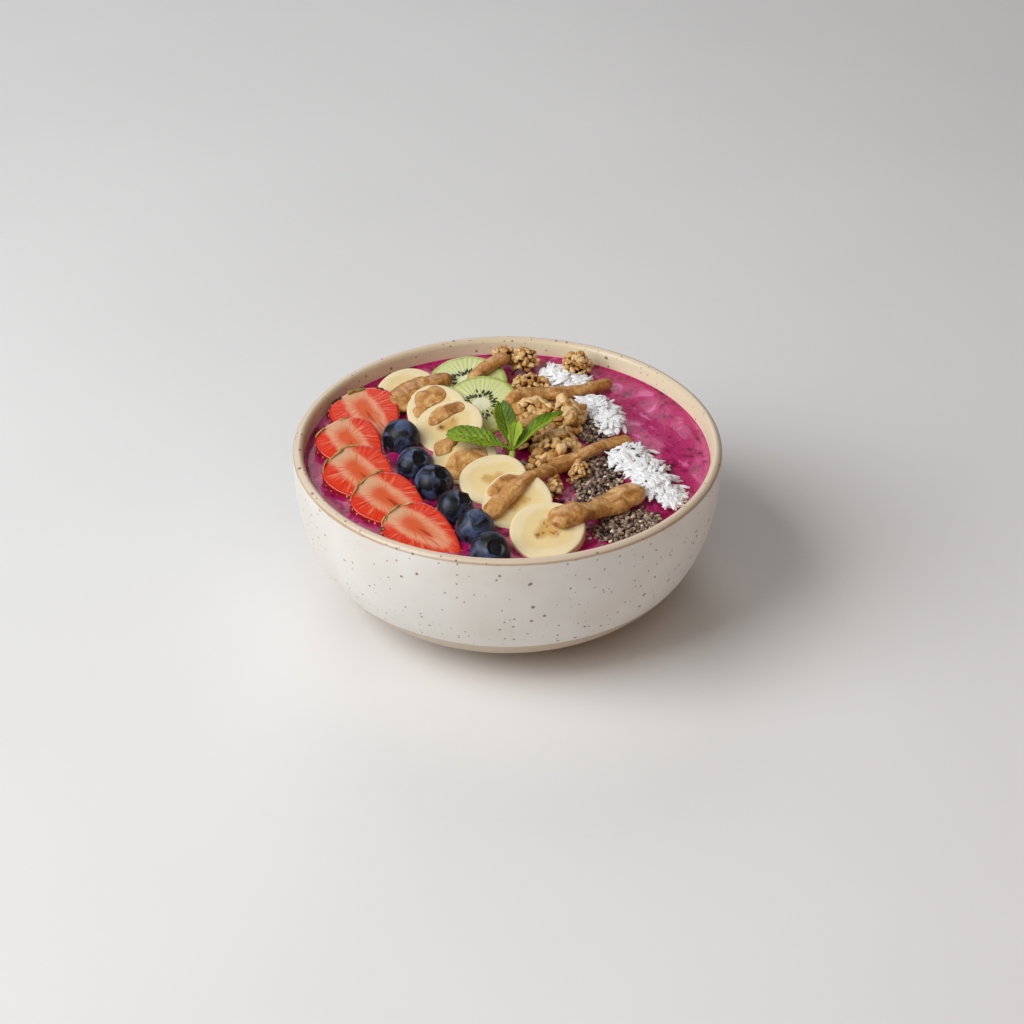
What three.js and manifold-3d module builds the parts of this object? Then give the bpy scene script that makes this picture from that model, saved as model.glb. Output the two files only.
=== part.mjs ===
// A fruit smoothie bowl: a round stoneware bowl filled with thick pink smoothie and topped with
// strawberry, banana and kiwi slices, blueberries, granola, chia seeds, shredded coconut,
// ribbons of nut butter and a sprig of mint.
//
// Millimetres, +Z up, -Y towards the eater. The origin is the centre of the foot, on the table.
import * as THREE from "three";
import { mergeVertices } from "three/addons/utils/BufferGeometryUtils.js";
import Module from "manifold-3d";

const wasm = await Module();
wasm.setup();

// Driving dimensions of the bowl
const RIM_RADIUS = 80;
const BOWL_HEIGHT = 64;
const WALL = 4;
const FOOT_RADIUS = 46;
const FOOT_HEIGHT = 3.2;
const FOOT_RING_WIDTH = 5;
const FOOT_RECESS = 2.2;
const FLOOR_THICKNESS = 5;
const BELLY_CORNER = 28; // radius at which the outside leaves the foot
const BELLY_POWER = 2.59; // 2 would be an ellipse, more is squarer
const ROUND_SEGMENTS = 40;

// Driving dimensions of the food
const LEVEL = 57; // height of the smoothie's surface
const GAP = 0.3; // clearance kept between two solids
const REST = LEVEL + GAP; // height at which a loose topping rests
const BANANA_RADIUS = 12.3;
const BANANA_THICKNESS = 5;
const STRAWBERRY_THICKNESS = 4.5;
const STREAK_HEIGHT = 1.6; // half height of the nut butter on a banana slice
const KIWI_RADIUS = 14.7;
const KIWI_THICKNESS = 5;
const GRAIN = { length: 3.4, width: 2.3, height: 1.9 }; // half sizes of a toasted oat
const CHIA_STEP = 2.4; // size of a chia bump
const SHRED = { length: 9, width: 1.9, thickness: 0.8 };
const LEAF_THICKNESS = 0.6;

const MATERIALS = {
  stoneware: { color: 0xe6dccb, roughness: 0.45 },
  smoothie: { color: 0xb81f77, roughness: 0.35 },
  strawberry: { color: 0xdb4527, roughness: 0.4 },
  blueberry: { color: 0x33405c, roughness: 0.6 },
  banana: { color: 0xf0dca4, roughness: 0.5 },
  kiwi: { color: 0xb3c163, roughness: 0.4 },
  nut_butter: { color: 0xb27a43, roughness: 0.45 },
  granola: { color: 0xc08a4c, roughness: 0.75 },
  coconut: { color: 0xefeae4, roughness: 0.7 },
  chia: { color: 0x5a4f47, roughness: 0.6 },
  mint: { color: 0x4a8a22, roughness: 0.55 },
};

const radians = THREE.MathUtils.degToRad;
const group = new THREE.Group();

// A number source that gives the same run of values every time.
function seeded(seed) {
  let state = seed;
  return (low = 0, high = 1) => {
    state = (state * 1664525 + 1013904223) % 4294967296;
    return low + ((high - low) * state) / 4294967296;
  };
}

// Solids and their meshes

function solidOf(geometry) {
  const bare = geometry.clone();
  bare.deleteAttribute("normal");
  bare.deleteAttribute("uv");
  const merged = mergeVertices(bare, 1e-4);
  const index = merged.index.array;
  const corners = [];
  for (let i = 0; i < index.length; i += 3) {
    const [a, b, c] = [index[i], index[i + 1], index[i + 2]];
    if (a !== b && b !== c && c !== a) corners.push(a, b, c);
  }
  return new wasm.Manifold(
    new wasm.Mesh({
      numProp: 3,
      vertProperties: new Float32Array(merged.attributes.position.array),
      triVerts: new Uint32Array(corners),
    }),
  );
}

function geometryOf(solid) {
  const mesh = solid.getMesh();
  const geometry = new THREE.BufferGeometry();
  geometry.setAttribute(
    "position",
    new THREE.BufferAttribute(new Float32Array(mesh.vertProperties), 3),
  );
  geometry.setIndex(new THREE.BufferAttribute(new Uint32Array(mesh.triVerts), 1));
  geometry.computeVertexNormals();
  return geometry;
}

function largestBody(solid) {
  const bodies = solid.decompose();
  return bodies.reduce((best, body) => (body.volume() > best.volume() ? body : best));
}

function joined(solids) {
  return solids.reduce((all, one) => all.add(one));
}

function moved(solid, matrix) {
  return solid.transform(matrix.elements);
}

function poseMatrix({ at = [0, 0, 0], lean = 0, roll = 0, turn = 0 }) {
  const frame = new THREE.Object3D();
  frame.position.set(...at);
  frame.rotation.set(radians(lean), radians(roll), radians(turn));
  frame.updateMatrix();
  return frame.matrix;
}

// What has been laid in the bowl so far, each with the room that softer pieces must leave it.
const laid = [];

// Adds a piece. shape(grow) gives its solid in its own frame, grown by that much. It gives way
// to every piece laid before it, so the firm pieces come first and the soft ones last.
function lay(name, material, pose, shape, room = shape) {
  const matrix = poseMatrix(pose);
  let solid = moved(shape(0), matrix);
  const box = solid.boundingBox();
  for (const other of laid) {
    if (touching(box, other.box)) solid = solid.subtract(other.room);
  }
  const grown = moved(room(GAP), matrix);
  laid.push({ room: grown, box: grown.boundingBox() });
  addMesh(name, material, moved(largestBody(solid), matrix.clone().invert()), pose);
}

function touching(a, b) {
  return [0, 1, 2].every((k) => a.min[k] < b.max[k] && b.min[k] < a.max[k]);
}

// Whether a small piece stays clear of everything laid so far, but for what a light trim takes.
function isClear(solid) {
  const box = solid.boundingBox();
  const trim = 0.12 * solid.volume();
  return laid.every(
    (other) => !touching(box, other.box) || solid.intersect(other.room).volume() < trim,
  );
}

function addMesh(name, material, solid, { at = [0, 0, 0], lean = 0, roll = 0, turn = 0 } = {}) {
  const mesh = new THREE.Mesh(
    geometryOf(solid),
    new THREE.MeshStandardMaterial({ ...MATERIALS[material], metalness: 0 }),
  );
  mesh.name = name;
  mesh.position.set(...at);
  mesh.rotation.set(radians(lean), radians(roll), radians(turn));
  group.add(mesh);
}

// Everything under the smoothie's surface, which loose toppings don't reach.
const underSurface = solidOf(
  new THREE.BoxGeometry(4 * RIM_RADIUS, 4 * RIM_RADIUS, 2 * REST),
);

// A loose topping is modelled where it lies and is flat where it rests on the smoothie.
function resting(shape) {
  return (grow) => shape(grow).subtract(underSurface);
}

// Shapes

// A profile of [radius, height] pairs turned round the upright axis.
function turned(profile, segments) {
  const points = profile.map(([radius, height]) => new THREE.Vector2(radius, height));
  return new THREE.LatheGeometry(points, segments).rotateX(Math.PI / 2);
}

// A slice with an outline(angle) of [x, y], its cut face at height 0 with a softened edge.
function slab(outline, thickness, edge, segments, grow) {
  const top = grow;
  const bottom = -thickness - grow;
  const rings = [
    [0, bottom],
    [1, bottom],
    [1, top - edge * thickness],
    [1 - edge, top],
    [0, top],
  ];
  const geometry = turned(rings, segments);
  const position = geometry.attributes.position;
  for (let i = 0; i < position.count; i++) {
    const share = Math.hypot(position.getX(i), position.getY(i));
    const [x, y] = outline(Math.atan2(position.getY(i), position.getX(i)));
    const reach = share * (1 + (1.3 * grow) / Math.hypot(x, y));
    position.setXY(i, x * reach, y * reach);
  }
  return solidOf(geometry);
}

// The room that a slice needs: a plain prism just outside its outline.
function slabRoom(outline, thickness, segments, grow) {
  const profile = [
    [0, -thickness - grow],
    [1.02, -thickness - grow],
    [1.02, grow],
    [0, grow],
  ];
  const geometry = turned(profile, segments);
  const position = geometry.attributes.position;
  for (let i = 0; i < position.count; i++) {
    const share = Math.hypot(position.getX(i), position.getY(i));
    const [x, y] = outline(Math.atan2(position.getY(i), position.getX(i)));
    const reach = share * (1 + (1.2 * grow) / Math.hypot(x, y));
    position.setXY(i, x * reach, y * reach);
  }
  return solidOf(geometry);
}

// A soft ridge with round ends along a path of [x, y, z], its half width given by widthAt(share).
function ridge(path, widthAt, height, sides, steps, grow) {
  const curve = new THREE.CatmullRomCurve3(path.map((point) => new THREE.Vector3(...point)));
  const length = curve.getLength();
  const geometry = new THREE.SphereGeometry(1, sides, steps).rotateX(Math.PI / 2);
  const position = geometry.attributes.position;
  const corner = new THREE.Vector3();
  for (let i = 0; i < position.count; i++) {
    corner.fromBufferAttribute(position, i);
    const rise = THREE.MathUtils.clamp(corner.z, -1, 1);
    const share = 0.5 - 0.3 * rise - (0.4 * Math.asin(rise)) / Math.PI;
    const fromEnd = Math.min(share, 1 - share) * length;
    const round = Math.max(0, 1 - fromEnd / widthAt(share));
    const fullness = Math.sqrt(1 - round * round);
    const middle = curve.getPointAt(THREE.MathUtils.clamp(share, 0, 1));
    const ahead = curve.getTangentAt(THREE.MathUtils.clamp(share, 0, 1)).setZ(0).normalize();
    const around = Math.atan2(corner.y, corner.x);
    const across = (widthAt(share) + grow) * fullness * Math.cos(around);
    const up = (height + grow) * fullness * Math.sin(around);
    const overshoot = (2 * share - 1) * grow;
    position.setXYZ(
      i,
      middle.x + ahead.y * across + ahead.x * overshoot,
      middle.y - ahead.x * across + ahead.y * overshoot,
      middle.z + up,
    );
  }
  return solidOf(geometry);
}

// An egg-shaped grain or lump with half sizes and a pose.
function lump(half, pose, sides, rings, grow = 0) {
  const geometry = new THREE.SphereGeometry(1, sides, rings);
  geometry.scale(...half.map((size) => size + grow));
  return moved(solidOf(geometry), poseMatrix(pose));
}

// A thin curved sheet: place(u, v) gives the middle of its thickness for u and v from 0 to 1.
// Both faces are split into triangles alike.
function sheet(columns, rows, place, thickness, grow) {
  const half = thickness / 2 + grow;
  const across = columns + 1;
  const count = across * (rows + 1);
  const corners = new Float32Array(count * 6);
  const index = [];
  for (let i = 0; i < count; i++) {
    const middle = place((i % across) / columns, 1 - Math.floor(i / across) / rows);
    corners.set([middle.x, middle.y, middle.z + half], i * 3);
    corners.set([middle.x, middle.y, middle.z - half], (count + i) * 3);
  }
  for (const [a, b, c] of gridTriangles(columns, rows)) {
    index.push(a, b, c);
    index.push(a + count, c + count, b + count);
  }
  for (const [from, to] of rimEdges(columns, rows)) {
    index.push(from, from + count, to);
    index.push(to, from + count, to + count);
  }
  const geometry = new THREE.BufferGeometry();
  geometry.setAttribute("position", new THREE.BufferAttribute(corners, 3));
  geometry.setIndex(index);
  return solidOf(geometry);
}

// The cells of a grid as triangles, split along diagonals that run to and fro like a chequer.
function gridTriangles(columns, rows) {
  const triangles = [];
  for (let row = 0; row < rows; row++) {
    for (let column = 0; column < columns; column++) {
      const a = row * (columns + 1) + column;
      const [b, c, d] = [a + columns + 1, a + columns + 2, a + 1];
      if ((row + column) % 2 === 0) triangles.push([a, b, d], [b, c, d]);
      else triangles.push([a, b, c], [a, c, d]);
    }
  }
  return triangles;
}

// The border of a grid as pairs of vertices, in the order that faces the walls outward.
function rimEdges(columns, rows) {
  const at = (column, row) => row * (columns + 1) + column;
  const edges = [];
  for (let c = 0; c < columns; c++) {
    edges.push([at(c + 1, 0), at(c, 0)]);
    edges.push([at(c, rows), at(c + 1, rows)]);
  }
  for (let r = 0; r < rows; r++) {
    edges.push([at(0, r), at(0, r + 1)]);
    edges.push([at(columns, r + 1), at(columns, r)]);
  }
  return edges;
}

// The bowl

const RIM_CENTRE = BOWL_HEIGHT - WALL / 2;
const INNER_FLOOR = FOOT_RECESS + FLOOR_THICKNESS;

// A point on the rounded belly, from its low end at share 0 to the rim at share 1.
function belly(share, reach, drop) {
  const angle = (share * Math.PI) / 2;
  const radius = BELLY_CORNER + reach * Math.pow(Math.sin(angle), 2 / BELLY_POWER);
  const height = RIM_CENTRE - drop * Math.pow(Math.cos(angle), 2 / BELLY_POWER);
  return [radius, height];
}

const OUTER_REACH = RIM_RADIUS - BELLY_CORNER;
const OUTER_DROP = RIM_CENTRE - FOOT_HEIGHT + 0.4;
const INNER_REACH = OUTER_REACH - WALL;
const INNER_DROP = RIM_CENTRE - INNER_FLOOR;
const INNER_SHARES = [0, 0.32, 0.58, 0.8];

function bowl() {
  const foot = [
    [0, FOOT_RECESS],
    [FOOT_RADIUS - FOOT_RING_WIDTH - 1, FOOT_RECESS],
    [FOOT_RADIUS - FOOT_RING_WIDTH, 0],
    [FOOT_RADIUS - 0.8, 0],
    [FOOT_RADIUS, 0.8],
    [FOOT_RADIUS, FOOT_HEIGHT],
  ];
  const outside = [0.2, 0.33, 0.47, 0.62, 0.8, 1].map((share) =>
    belly(share, OUTER_REACH, OUTER_DROP),
  );
  const lip = [0.3, 0.7].map((share) => [
    RIM_RADIUS - (WALL / 2) * (1 - Math.cos(share * Math.PI)),
    RIM_CENTRE + ((WALL / 2) * Math.sin(share * Math.PI)) / Math.sin(0.3 * Math.PI),
  ]);
  const inside = [1, ...INNER_SHARES.toReversed()].map((share) =>
    belly(share, INNER_REACH, INNER_DROP),
  );
  const profile = [...foot, ...outside, ...lip, ...inside, [0, INNER_FLOOR]];
  return solidOf(turned(profile, ROUND_SEGMENTS));
}

// The smoothie fills the bowl to its level, a gap clear of the wall.
function smoothie() {
  const wall = INNER_SHARES.map((share) => {
    const [radius, height] = belly(share, INNER_REACH, INNER_DROP);
    return [radius - GAP * 1.5, height + GAP * 1.5];
  });
  const edge = INNER_REACH + BELLY_CORNER - 2 * GAP;
  const profile = [
    [0, INNER_FLOOR + GAP * 1.5],
    ...wall,
    [edge, LEVEL - 1],
    [edge - 1.2, LEVEL],
    [0, LEVEL],
  ];
  return solidOf(turned(profile, ROUND_SEGMENTS));
}

// Blueberries, from the back of the row to the front. The crown looks along each one's own +Z.
const BLUEBERRIES = [
  { at: [-40, 7.8, 60], radius: 7.4, lean: 83, roll: -44 },
  { at: [-34.2, -10.6, 59.8], radius: 6.9, lean: 28, roll: 20 },
  { at: [-26.8, -23.6, 60], radius: 7.3, lean: 16, roll: 27 },
  { at: [-18.9, -40, 59.8], radius: 7.1, lean: 4, roll: 37 },
  { at: [-11.4, -52.6, 59.8], radius: 7.1, lean: -58, roll: 10 },
  { at: [-6, -66.6, 59.3], radius: 7.3, lean: 41, roll: 19 },
];

function blueberry(radius, segments, grow) {
  const crown = [
    [0.33, 0.9],
    [0.26, 0.78],
    [0, 0.74],
  ];
  const skin = Array.from({ length: 7 }, (_, i) => {
    const angle = Math.PI * (1 - (i / 6) * 0.87);
    return [Math.sin(angle), 0.94 * Math.cos(angle)];
  });
  skin[0][0] = 0;
  const profile = [...skin, ...crown].map(([r, z]) => [r * (radius + grow), z * (radius + grow)]);
  return solidOf(turned(profile, segments));
}

// The room that a blueberry needs: a plain ball, coarse enough to keep its pocket light.
function berryRoom(radius, grow) {
  return lump([1, 1, 0.94].map((k) => k * (radius + grow) * 1.06), {}, 9, 6);
}

// Banana slices, from the front of the row to the back. Each one leans on the next.
const BANANAS = [
  { at: [14, -56.7, 61.8], lean: 18, roll: -3, turn: 20, size: 1.08 },
  { at: [3.5, -37.9, 61.9], lean: 20, roll: -4, turn: 95, size: 1.06, streaks: "double" },
  { at: [-5, -23.7, 61.7], lean: 19, roll: -5, turn: 170, size: 1.0 },
  { at: [-16, -8, 61.6], lean: 19, roll: -5, turn: 260, size: 1.0, streaks: "wide" },
  { at: [-22, 13, 61.9], lean: 21, roll: -7, turn: 40, size: 1.05, streaks: "single" },
  { at: [-27.5, 27, 61.4], lean: 20, roll: -6, turn: 120, size: 0.96, streaks: "drip" },
  { at: [-38.5, 42, 60.6], lean: 15, roll: 0, turn: 200, size: 0.99 },
];

// The nut butter that lies on single banana slices, along paths on the slice's own face.
// Angles on the face are taken with the slice unturned, as seen from the eater's side.
const STREAKS = {
  single: [{ path: [[-7, 1.6], [-2, 6.8], [4.6, 9]], width: 2.6 }],
  double: [{ path: [[-8.6, 4.4], [-4.6, 8.4], [0, 10.6]], width: 2.2 }],
  wide: [
    { path: [[-10.4, 1], [-7, 6.2], [-3, 8.6]], width: 2.4 },
    { path: [[-4.6, -8.4], [1, -2.6], [5.6, 3.4]], width: 5 },
  ],
  drip: [
    { path: [[-8, 2.4], [-2.6, 5.8], [3.8, 8.6]], width: 3.6 },
    { path: [[-6.6, 2], [-6, -1.4], [-5, -4]], width: 2.2 },
  ],
};

// A banana's cross-section is a circle pressed in along three seams and slightly oval.
function bananaOutline(angle) {
  const radius = BANANA_RADIUS * (1 + 0.025 * Math.cos(3 * angle) + 0.02 * Math.cos(2 * angle));
  return [radius * Math.cos(angle), radius * Math.sin(angle)];
}

function streakRidges({ size, turn, streaks }, grow) {
  return (STREAKS[streaks] ?? []).map(({ path, width }) => {
    const raised = path.map(([x, y]) => [x * size, y * size, 0.4]);
    const straight = ridge(raised, () => width, STREAK_HEIGHT, 6, 5, grow);
    return moved(straight, poseMatrix({ turn: -turn }));
  });
}

function bananaSlice(slice, grow) {
  const outline = (angle) => bananaOutline(angle).map((k) => k * slice.size);
  const disc = slab(outline, BANANA_THICKNESS, 0.12, 18, grow);
  return joined([disc, ...streakRidges(slice, grow)]);
}

function bananaRoom(slice, grow) {
  const outline = (angle) => bananaOutline(angle).map((k) => k * slice.size);
  const disc = slabRoom(outline, BANANA_THICKNESS, 14, grow);
  return joined([disc, ...streakRidges(slice, grow)]);
}

// Strawberry slices, from the front of the fan to the back. The tip points along +X when unturned.
const STRAWBERRIES = [
  { at: [-29, -54.6, 59.4], lean: 13, turn: -40, length: 33, width: 23 },
  { at: [-40.6, -38, 60.6], lean: 15, turn: -42, length: 34, width: 24 },
  { at: [-52, -20.6, 60.6], lean: 15, turn: -50, length: 34, width: 25 },
  { at: [-57, 0.6, 60.4], lean: 15, turn: -56, length: 32, width: 24 },
  { at: [-52.6, 23.4, 60], lean: 13, turn: -60, length: 32, width: 27 },
];

// A strawberry cut lengthwise: broad flat shoulders and a blunt tip.
function strawberryOutline(length, width, angle) {
  const taper = 1 - 0.5 * Math.cos(angle);
  return [(length / 2) * Math.cos(angle), 0.455 * width * Math.sin(angle) * taper];
}

function strawberrySlice({ length, width }, grow) {
  const outline = (angle) => strawberryOutline(length, width, angle);
  return slab(outline, STRAWBERRY_THICKNESS, 0.1, 20, grow);
}

function strawberryRoom({ length, width }, grow) {
  const outline = (angle) => strawberryOutline(length, width, angle);
  return slabRoom(outline, STRAWBERRY_THICKNESS, 16, grow);
}

// Kiwi slices, the front one first.
const KIWIS = [
  { at: [-10.2, 28.8, 62.2], lean: 20, roll: -4, radius: KIWI_RADIUS },
  { at: [-15.6, 48, 61], lean: 13, roll: -2, radius: KIWI_RADIUS + 0.6 },
];

function kiwiOutline(radius, angle) {
  return [radius * 1.02 * Math.cos(angle), radius * 0.98 * Math.sin(angle)];
}

function kiwiSlice({ radius }, grow) {
  return slab((angle) => kiwiOutline(radius, angle), KIWI_THICKNESS, 0.08, 22, grow);
}

function kiwiRoom({ radius }, grow) {
  return slabRoom((angle) => kiwiOutline(radius, angle), KIWI_THICKNESS, 16, grow);
}

// Ribbons of nut butter that cross several toppings.
const RIBBONS = {
  front_long: {
    path: [
      [-7.4, -46, 60],
      [-1, -38, 62.9],
      [6, -30, 65.3],
      [13, -22.5, 64.1],
      [19, -13.5, 61.1],
      [28, -5, 60.7],
      [37, 2, 60.3],
      [47, 7.5, 59.1],
    ],
    width: (share) => 3.4 - 0.9 * share + 0.4 * Math.sin(14 * share),
    height: 2,
    steps: 14,
  },
  front_short: {
    path: [
      [14.6, -54, 64.6],
      [20, -52.6, 65],
      [25, -50, 65.2],
      [30, -46, 63],
      [36, -40.5, 61.2],
      [42.5, -34, 61],
      [48.5, -27, 60.6],
    ],
    width: (share) => 5.1 + 0.9 * Math.cos(8 * share),
    height: 2.6,
    steps: 14,
  },
  back_right: {
    path: [
      [-5, 21.5, 61.1],
      [-1, 26, 62.6],
      [4, 32, 64.2],
      [11, 36, 62.6],
      [20, 38.5, 61.2],
      [30, 43, 60.2],
      [41, 51, 59.1],
    ],
    width: (share) => 1.8 + 1.5 * Math.sin(Math.PI * Math.min(1, share * 0.95)),
    height: 2.1,
    steps: 14,
  },
  back_left: {
    path: [
      [-41, 28.5, 59.6],
      [-40.4, 36, 61.2],
      [-35, 42, 62],
      [-28, 46.5, 61.8],
      [-22, 50, 62],
    ],
    width: (share) => 6.4 - 3 * share,
    height: 2.4,
    steps: 11,
  },
  back_kiwi: {
    path: [
      [-16.6, 40.5, 61.4],
      [-13.6, 46.5, 62.6],
      [-9.4, 52.5, 64],
      [-4, 57.5, 65],
      [0.6, 60.2, 65],
    ],
    width: (share) => 1.9 + 1.6 * share,
    height: 2,
    steps: 10,
  },
};

// Granola clusters that lie alone: the middle, and half sizes of the clump.
const CLUSTERS = {
  back_wall: { at: [-1.6, 66.4, 61.6], half: [3.2, 3, 3.4], grains: 4 },
  back_middle: { at: [7, 62.2, 62], half: [4, 3.8, 4.4], grains: 5 },
  back_right: { at: [27.4, 60.4, 60.6], half: [4.6, 4.2, 5], grains: 7 },
  behind_ribbon: { at: [9, 47.6, 60], half: [6, 3.6, 2.8], grains: 7 },
  by_banana: { at: [10.6, -12.2, 59.4], half: [2.6, 2.6, 2], grains: 3 },
  front_tall: { at: [17, -25.6, 59.8], half: [1.8, 4, 2.8], grains: 4 },
  front_round: { at: [26.6, -16.4, 60], half: [3, 3.2, 3], grains: 5 },
};

// The main granola heap: lumps of the core, and how many grains are spread over each.
const HEAP = [
  { at: [10, 25, 60], half: [7, 5.4, 4.6], grains: 5 },
  { at: [21, 21, 60.5], half: [7, 7.4, 5.4], grains: 7 },
  { at: [9, 10, 60], half: [7.6, 8, 4.6], grains: 7 },
  { at: [18, 0, 60], half: [7.4, 7.4, 4.6], grains: 6 },
];

// Toasted oats set evenly over the upper side of a clump, each turned its own way.
function grainsOver({ at, half, grains }, random) {
  const goldenAngle = Math.PI * (3 - Math.sqrt(5));
  return Array.from({ length: grains }, (_, i) => {
    const height = 1 - (i + 0.4) * (1.15 / grains);
    const ring = Math.sqrt(1 - height * height);
    const angle = i * goldenAngle + random(0, 0.8);
    const size = random(0.78, 1.05);
    return lump(
      [GRAIN.length * size, GRAIN.width * size, GRAIN.height * size],
      {
        at: [
          at[0] + half[0] * ring * Math.cos(angle),
          at[1] + half[1] * ring * Math.sin(angle),
          at[2] + half[2] * height,
        ],
        lean: random(-50, 50),
        roll: random(-50, 50),
        turn: random(0, 180),
      },
      5,
      3,
    );
  });
}

function clump(parts, seed) {
  const random = seeded(seed);
  const cores = parts.map(({ at, half }) => lump(half, { at }, 6, 5));
  const grains = parts.flatMap((part) => grainsOver(part, random)).filter(isClear);
  return joined([...cores, ...grains]);
}

// The room that a clump needs is that of its lumps, out to the tips of the grains.
function clumpRoom(parts, grow) {
  return joined(
    parts.map(({ at, half }) =>
      lump(half.map((size) => size + GRAIN.width), { at }, 9, 6, grow),
    ),
  );
}

// Chia seeds lie in low patches, an ellipse each.
const CHIA_PATCHES = {
  front: { at: [33.5, -19], half: [8.6, 17], turn: -12, height: 2.2 },
  rim: { at: [43, -48.5], half: [13, 8.6], turn: 32, height: 2 },
  middle: { at: [32.5, 15], half: [5.6, 9], turn: 10, height: 2.6 },
};

// A low mound with bumps of a seed's size in a chequer, each cell one seed wide.
function chiaPatch({ at, half, turn, height }, bump, grow) {
  const [columns, rows] = half.map((size) => Math.round((2 * size) / CHIA_STEP));
  const place = (u, v) => {
    const [x, y] = [2 * u - 1, 2 * v - 1];
    const across = x * Math.sqrt(1 - (y * y) / 2);
    const along = y * Math.sqrt(1 - (x * x) / 2);
    const share = Math.hypot(across, along);
    const ragged = 1 + 0.07 * Math.cos(5 * Math.atan2(along, across)) * share + grow / half[0];
    const raised = (Math.round(u * columns) + Math.round((1 - v) * rows)) % 2 === 0 ? bump : 0;
    const top = height * Math.sqrt(1 - 0.8 * share * share) + raised + grow;
    return new THREE.Vector3(across * half[0] * ragged, along * half[1] * ragged, top - 3);
  };
  return moved(sheet(columns, rows, place, 6, 0), poseMatrix({ at: [...at, LEVEL], turn }));
}

// Shredded coconut lies in heaps of flat strips over a low core.
const COCONUT_HEAPS = {
  front: {
    cores: [
      { at: [45, -6, 58], half: [6.4, 8.6, 3.4] },
      { at: [49.5, -13.5, 58], half: [5.6, 6, 3.2] },
      { at: [53, -21, 58], half: [6.4, 9, 3.2] },
      { at: [59, -31, 57.6], half: [3, 5, 2] },
    ],
    shreds: 15,
    seed: 31,
  },
  middle: {
    cores: [
      { at: [33, 31, 58], half: [6.6, 6.4, 3.4] },
      { at: [39, 20.5, 58], half: [4.6, 7.4, 3.2] },
    ],
    shreds: 12,
    seed: 47,
  },
  back: {
    cores: [
      { at: [25, 49.6, 58], half: [7.6, 4.4, 3] },
      { at: [19, 57, 58], half: [5, 5, 2.8] },
    ],
    shreds: 9,
    seed: 59,
  },
};

function shred(pose, length, width) {
  const geometry = new THREE.BoxGeometry(length, width, SHRED.thickness);
  const position = geometry.attributes.position;
  for (let i = 0; i < position.count; i++) {
    if (position.getX(i) > 0) position.setY(i, position.getY(i) * 0.6);
  }
  return moved(solidOf(geometry), poseMatrix(pose));
}

function coconutHeap({ cores, shreds, seed }) {
  const random = seeded(seed);
  const goldenAngle = Math.PI * (3 - Math.sqrt(5));
  const strips = Array.from({ length: shreds }, (_, i) => {
    const { at, half } = cores[i % cores.length];
    const out = Math.sqrt((i + 0.5) / shreds);
    const angle = i * goldenAngle;
    const pose = {
      at: [
        at[0] + half[0] * out * Math.cos(angle),
        at[1] + half[1] * out * Math.sin(angle),
        at[2] + half[2] * Math.sqrt(1 - 0.7 * out * out) + 0.1,
      ],
      lean: random(-16, 16),
      roll: random(-16, 16),
      turn: random(0, 180),
    };
    return shred(pose, SHRED.length * random(0.7, 1.15), SHRED.width * random(0.8, 1.3));
  });
  const heaps = cores.map(({ at, half }) => lump(half, { at }, 8, 4));
  return joined([...heaps, ...strips.filter(isClear)]);
}

function coconutRoom({ cores }, grow) {
  return joined(
    cores.map(({ at, half }) => lump(half.map((size) => size + 2.6), { at }, 9, 5, grow)),
  );
}

// The mint sprig: four leaves from one short stem. Each tip is where the leaf ends, and each
// leaf is broadest at that share of its length.
const SPRIG_BASE = [1.8, -8.2, 64];
const LEAVES = [
  { tip: [-22.5, -2.5, 67.8], width: 12, widest: 0.64, cup: 1, arch: 2.2 },
  { tip: [-2.6, 5.4, 76.6], width: 8, widest: 0.58, cup: 1.4, arch: 1.4 },
  { tip: [3.4, -1.4, 72.4], width: 5.6, widest: 0.66, cup: 0.8, arch: 0.8 },
  { tip: [20.4, 5.6, 72.1], width: 6, widest: 0.5, cup: 1.4, arch: 2.4 },
];

function mintLeaf({ tip, width, widest, cup, arch }, grow) {
  const base = new THREE.Vector3(...SPRIG_BASE);
  const along = new THREE.Vector3(...tip).sub(base);
  const across = new THREE.Vector3(-along.y, along.x, 0).normalize();
  const power = Math.log(0.5) / Math.log(0.04 + 0.92 * widest);
  const place = (u, v) => {
    const side = 2 * v - 1;
    const blade = Math.pow(Math.sin(Math.PI * Math.pow(0.04 + 0.92 * u, power)), 0.8);
    const wave = 0.4 * Math.sin(4 * Math.PI * u) * side;
    return base
      .clone()
      .addScaledVector(along, u)
      .addScaledVector(across, side * (blade * (width / 2) + grow))
      .add(new THREE.Vector3(0, 0, arch * Math.sin(Math.PI * u) + cup * side * side + wave));
  };
  return sheet(5, 2, place, LEAF_THICKNESS, grow);
}

function mintSprig(grow) {
  const stem = lump([1.5, 1.5, 2.4], { at: SPRIG_BASE }, 5, 4, grow);
  return joined([stem, ...LEAVES.map((leaf) => mintLeaf(leaf, grow))]);
}

// The bowl and its contents, firm pieces first

const bowlSolid = bowl();
addMesh("bowl", "stoneware", bowlSolid);

BLUEBERRIES.forEach((berry, i) => {
  lay(
    `blueberry_${i + 1}`,
    "blueberry",
    berry,
    (grow) => blueberry(berry.radius, 10, grow),
    (grow) => berryRoom(berry.radius, grow),
  );
});

BANANAS.forEach((slice, i) => {
  lay(
    `banana_slice_${i + 1}`,
    "banana",
    slice,
    (grow) => bananaSlice(slice, grow),
    (grow) => bananaRoom(slice, grow),
  );
});

STRAWBERRIES.forEach((slice, i) => {
  lay(
    `strawberry_slice_${i + 1}`,
    "strawberry",
    slice,
    (grow) => strawberrySlice(slice, grow),
    (grow) => strawberryRoom(slice, grow),
  );
});

KIWIS.forEach((slice, i) => {
  lay(
    `kiwi_slice_${i + 1}`,
    "kiwi",
    slice,
    (grow) => kiwiSlice(slice, grow),
    (grow) => kiwiRoom(slice, grow),
  );
});

lay("mint_sprig", "mint", {}, mintSprig);

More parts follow.
